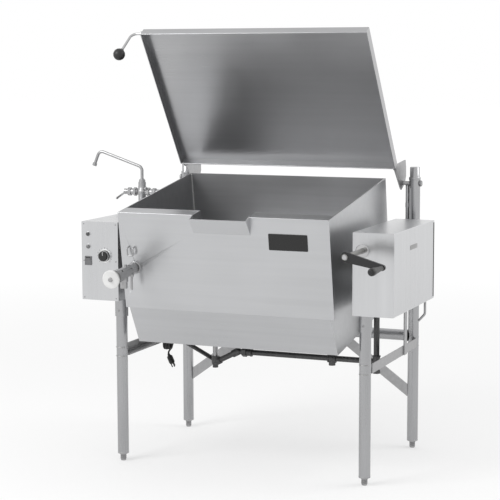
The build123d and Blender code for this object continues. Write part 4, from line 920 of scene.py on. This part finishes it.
LEGS = ("front_left_leg", "front_right_leg", "rear_left_post", "rear_right_post")
RAIL_WELD_HALF = 62.0
WELD_OUT = 0.8
BEAM_WELD_OUT = 0.4
BEAM_WELD_IN = 1.2
SOCKET_SCREW_UP = 22.0
FOOT_COLLAR = [(-1.5, -1.5), (-1.5, -0.2), (1.0, 0.35), (3.0, 0.35), (3.4, 0.05)]
THREAD_COUNT = 5
THREAD_LOW = 8.0
THREAD_PITCH = 3.2
THREAD = [(0, 10.2), (0.8, 11.3), (1.6, 11.3), (2.4, 10.2)]
POST_COLLAR = [(-9, 0), (-9, 1.2), (-7, 1.6), (0, 1.6), (1.2, 0.9), (1.2, -3)]


def make_stand_details(finishes):
    """Weld beads where the stand's pieces meet, socket screws, and collars on the feet and posts."""
    weld = finishes["weld"]
    leg_low, leg_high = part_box("front_left_leg")
    leg_r = (leg_high.x - leg_low.x) / 2
    rails_low, rails_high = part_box("side_rails")
    beam = middle("rear_crossbeam")
    paths = []
    for leg in LEGS:
        centre = middle(leg)
        toward = 90 if "front" in leg else -90
        for z in (rails_low.z + 1 * MM, rails_high.z - 1 * MM):
            paths.append(ring_path((centre.x, centre.y, z), Z, leg_r + WELD_OUT * MM, toward - RAIL_WELD_HALF,
                                   toward + RAIL_WELD_HALF, 12))
    weld_bead("rail_welds", paths, 1.8, weld, "stand")
    paths = []
    for leg, sign in (("rear_left_post", 1), ("rear_right_post", -1)):
        x = middle(leg).x + sign * (leg_r + BEAM_WELD_IN * MM)
        paths.append(ring_path((x, beam.y, beam.z), X, leg_r + BEAM_WELD_OUT * MM))
    weld_bead("beam_welds", paths, 1.8, weld, "stand")
    sockets = [LEFT_LEG, RIGHT_LEG]
    socket_low, socket_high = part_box("leg_sockets")
    socket_r = (socket_high.y - socket_low.y) / 2
    screw_z = socket_low.z + SOCKET_SCREW_UP * MM
    screws("socket_screws", [Vector((c.x, c.y - socket_r, screw_z)) for c in sockets], -Y, 4 * MM,
           finishes["plate_steel"], "stand")
    paths = [ring_path((c.x, c.y, socket_high.z - 1 * MM), Z, socket_r + WELD_OUT * MM, steps=28)
             for c in sockets]
    weld_bead("socket_welds", paths, 1.6, weld, "stand")
    bm = bmesh.new()
    for leg in LEGS:
        c = middle(leg)
        lathe_mesh(bm, Vector((c.x, c.y, leg_low.z)), Z, mm(FOOT_COLLAR, leg_r), 36)
        for k in range(THREAD_COUNT):
            z = THREAD_LOW + k * THREAD_PITCH
            lathe_mesh(bm, Vector((c.x, c.y, 0)), Z, mm([(z + a, r) for a, r in THREAD]), 28)
    finish_piece("foot_collars", bm, finishes["plate_steel"], "stand")
    bm = bmesh.new()
    for leg in LEGS[2:]:
        c = middle(leg)
        lathe_mesh(bm, Vector((c.x, c.y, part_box(leg)[1].z)), Z, mm(POST_COLLAR, leg_r), 36)
    finish_piece("post_collars", bm, finishes["stainless_tube"], "stand")


# Valve and faucet

WHEEL_FACE = [(8.6, 27.0), (9.15, 26.4), (9.15, 25.8), (8.8, 25.2), (9.1, 12.0), (9.3, 11.0), (9.9, 10.4),
              (9.9, 7.0)]
WHEEL_NUT_OUT = 9.9
WHEEL_NUT_ACROSS = 12.0
VALVE_PORT = 52.0
PORT_TURN = 46.0
PORT_RIM = [(22.4, 6.4), (23.9, 6.4), (24.4, 5.8), (24.4, 4.6), (23.7, 4.4)]
PORT_FACE = [(23.4, 4.5), (24.0, 4.3)]
OUTLET_NECK = 30.0
OUTLET_COLLAR = [(0, 2.2), (1.4, 2.2), (2.6, 0.6)]
FAUCET_FLANGE = [(0, 29), (2, 29), (3.5, 27.5), (5, 24), (7, 19), (9, 17)]
FAUCET_CAP_IN = 4.6
FAUCET_CAP = [(-1, 14.8), (0.4, 15.4), (2.2, 15.4), (3.4, 14.6)]
LEVER_BUTTON = [(16.0, 8.6), (17.4, 8.0), (18.6, 6.2), (19.2, 3.4)]
SPOUT_NUT_UP = 37.0
SPOUT_NUT = [(0, 11.6), (1, 12.6), (8, 12.6), (9.5, 11.2), (12, 9.4), (14, 8.4)]
CHECK_KNOB_UP = 13.0
CHECK_KNOB_RAY = (0.9, -0.45, 0)
CHECK_KNOB = [(10, 4), (19, 4), (20, 7), (26, 7.4), (28, 6), (28.6, 3)]


def make_valve_details(finishes):
    """The handwheel's face and nut, the valve's side port and the collar at its outlet."""
    place, ray = joint("valve_turn")
    chrome = finishes["satin_metal"]
    lathe("handwheel_face", place, ray, mm(WHEEL_FACE), finishes["wheel_paint"], "handwheel",
          56)
    bolt("handwheel_nut", place + ray * WHEEL_NUT_OUT * MM, ray, WHEEL_NUT_ACROSS * MM, chrome, "handwheel")
    port = place - ray * VALVE_PORT * MM
    turn = math.radians(PORT_TURN)
    out = X * math.cos(turn) + ray.cross(X).normalized() * math.sin(turn)
    lathe("valve_port_rim", port, out, mm(PORT_RIM), chrome, "pan", 28)
    lathe("valve_port", port, out, mm(PORT_FACE), finishes["cord_rubber"], "pan", 24)
    mount = next(m for m in frame["record"]["mounts"] if m["name"] == "draw_off_outlet")
    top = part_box("valve_body")[0].z + OUTLET_NECK * MM
    lathe("outlet_collar", Vector((mount["pos_m"][0], mount["pos_m"][1], top)), -Z,
          mm(OUTLET_COLLAR, mount["dims"]["r_mm"] * MM), chrome, "pan", 40)


def make_faucet_details(finishes):
    """Turned rings on the faucet's body, spout and levers."""
    chrome = finishes["satin_metal"]
    swing, _ = joint("spout_swing")
    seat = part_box("console_shell")[1].z
    lathe("faucet_flange", Vector((swing.x, swing.y, seat)), Z, mm(FAUCET_FLANGE), chrome, "stand",
          40)
    for name, side in (("left", -X), ("right", X)):
        hub, _ = joint(f"{name}_lever_turn")
        lathe(f"faucet_cap_{name}", hub - side * FAUCET_CAP_IN * MM, side, mm(FAUCET_CAP), chrome, "stand")
        lathe(f"lever_button_{name}", hub, side, mm(LEVER_BUTTON), chrome, f"{name}_lever",
              28)
    lathe("spout_nut", swing + Z * SPOUT_NUT_UP * MM, Z, mm(SPOUT_NUT), chrome, "spout", 12)
    lathe("faucet_check_knob", swing + Z * CHECK_KNOB_UP * MM, Vector(CHECK_KNOB_RAY).normalized(),
          mm(CHECK_KNOB), chrome, "stand", 24)


# Hinges and gas line

PIN_WASHER_IN = 5.2
PIN_WASHER = [(-0.4, 10), (0.2, 10.5), (0.4, 9.8)]
GAS_Z = 382.0
GAS_RIGHT_X = 417.0
GAS_COLLARS = (-104.0, -78.0, 232.0, 258.0)
GAS_RISER_COLLAR = 20.0
RUN_COLLAR = [(-3.5, 14.6), (-2.5, 16.4), (2.5, 16.4), (3.5, 14.6)]
RISER_COLLAR = [(-3, 13.2), (-2, 15.6), (2, 15.6), (3, 13.2)]


def make_hinge_details(finishes):
    """Washers at the lid's hinge pins."""
    hinge, _ = joint("lid_hinge")
    ears_low, ears_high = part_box("lid_ears")
    bm = bmesh.new()
    for side, sign in ((ears_low.x, 1), (ears_high.x, -1)):
        place = Vector((side + sign * PIN_WASHER_IN * MM, hinge.y, hinge.z))
        lathe_mesh(bm, place, X * sign, mm(PIN_WASHER), 28)
    finish_piece("hinge_washers", bm, finishes["plate_steel"], "stand")


def make_gas_details(finishes):
    """Beaded collars on the gas pipe's fittings."""
    bm = bmesh.new()
    for x in GAS_COLLARS:
        lathe_mesh(bm, at(x, 0, GAS_Z), X, mm(RUN_COLLAR), 28)
    for z in (GAS_Z - GAS_RISER_COLLAR, GAS_Z + GAS_RISER_COLLAR):
        lathe_mesh(bm, at(GAS_RIGHT_X, 0, z), Z, mm(RISER_COLLAR), 28)
    finish_piece("gas_fitting_beads", bm, finishes["gas_pipe"], "stand")


# Stage

FLOOR_SIDE = 40.0
FLOOR_COLOR = 0.95
FLOOR_GLOW = 1.04
FLOOR_SHARE = 0.45
FLOOR_NEAR = 1.6
FLOOR_FAR = 6.0
WORLD_FILL = 0.75
LAMPS = [
    ("key", (-1900, -2600, 3000), (0, -100, 800), (1.8, 1.8), 55.0),
    ("rim", (2400, 900, 2300), (100, 0, 800), (1.5, 1.5), 18.0),
]


def range_node(tree, value, **sockets):
    """A value moved from one range to another, in a node tree."""
    made = tree.nodes.new("ShaderNodeMapRange")
    tree.links.new(value, made.inputs["Value"])
    for name, number in sockets.items():
        made.inputs[name.replace("_", " ")].default_value = number
    return made.outputs[0]


def seen_directly(tree):
    """1 for what the camera sees straight or in a reflection, and 0 for the rest, in a node tree."""
    path = tree.nodes.new("ShaderNodeLightPath")
    seen = tree.nodes.new("ShaderNodeMath")
    seen.operation = "MAXIMUM"
    tree.links.new(path.outputs["Is Camera Ray"], seen.inputs[0])
    tree.links.new(path.outputs["Is Glossy Ray"], seen.inputs[1])
    return seen.outputs[0]


def make_floor():
    """The pale floor: it keeps the shadow near the machine and fades to white far off."""
    bm = bmesh.new()
    for x, y in ((-1, -1), (1, -1), (1, 1), (-1, 1)):
        bm.verts.new((x * FLOOR_SIDE, y * FLOOR_SIDE, 0))
    bm.faces.new(bm.verts)
    mesh = new_mesh("floor", bm)
    floor = bpy.data.objects.new("floor", mesh)
    bpy.context.scene.collection.objects.link(floor)
    material = bpy.data.materials.new("floor")
    material.use_nodes = True
    tree = material.node_tree
    tree.nodes.clear()
    out = tree.nodes.new("ShaderNodeOutputMaterial")
    diffuse = tree.nodes.new("ShaderNodeBsdfDiffuse")
    diffuse.inputs["Color"].default_value = (FLOOR_COLOR, FLOOR_COLOR, FLOOR_COLOR, 1)
    glow = tree.nodes.new("ShaderNodeEmission")
    glow.inputs["Strength"].default_value = FLOOR_GLOW
    place = tree.nodes.new("ShaderNodeTexCoord")
    reach = tree.nodes.new("ShaderNodeVectorMath")
    reach.operation = "LENGTH"
    tree.links.new(place.outputs["Object"], reach.inputs[0])
    fade = range_node(tree, reach.outputs["Value"], From_Min=FLOOR_NEAR, From_Max=FLOOR_FAR,
                      To_Min=FLOOR_SHARE, To_Max=1.0)
    share = tree.nodes.new("ShaderNodeMath")
    share.operation = "MULTIPLY"
    tree.links.new(seen_directly(tree), share.inputs[0])
    tree.links.new(fade, share.inputs[1])
    mix = tree.nodes.new("ShaderNodeMixShader")
    for source, socket in ((share, 0), (diffuse, 1), (glow, 2)):
        tree.links.new(source.outputs[0], mix.inputs[socket])
    tree.links.new(mix.outputs[0], out.inputs[0])
    mesh.materials.append(material)


def make_light():
    """The white surroundings and the soft studio lamps."""
    world = bpy.data.worlds.new("studio")
    bpy.context.scene.world = world
    world.use_nodes = True
    tree = world.node_tree
    back = tree.nodes["Background"]
    back.inputs["Color"].default_value = (1, 1, 1, 1)
    fill = range_node(tree, seen_directly(tree), To_Min=WORLD_FILL, To_Max=1.0)
    tree.links.new(fill, back.inputs["Strength"])
    for name, place, aim, size, power in LAMPS:
        data = bpy.data.lights.new(name, "AREA")
        data.shape = "RECTANGLE"
        data.size, data.size_y = size
        data.energy = power
        lamp = bpy.data.objects.new(name, data)
        bpy.context.scene.collection.objects.link(lamp)
        lamp.location = at(*place)
        lamp.rotation_mode = "QUATERNION"
        lamp.rotation_quaternion = (at(*aim) - at(*place)).to_track_quat("-Z", "Y")


def main():
    """Builds the whole scene."""
    make_camera()
    finishes = make_finishes()
    make_cord(finishes)
    dress_nodes(finishes)
    make_console_details(finishes)
    make_gearbox_details(finishes)
    make_pan_details(finishes)
    make_lid_details(finishes)
    make_stand_details(finishes)
    make_valve_details(finishes)
    make_faucet_details(finishes)
    make_hinge_details(finishes)
    make_gas_details(finishes)
    make_floor()
    make_light()
    bpy.context.scene.view_settings.view_transform = "Standard"


main()
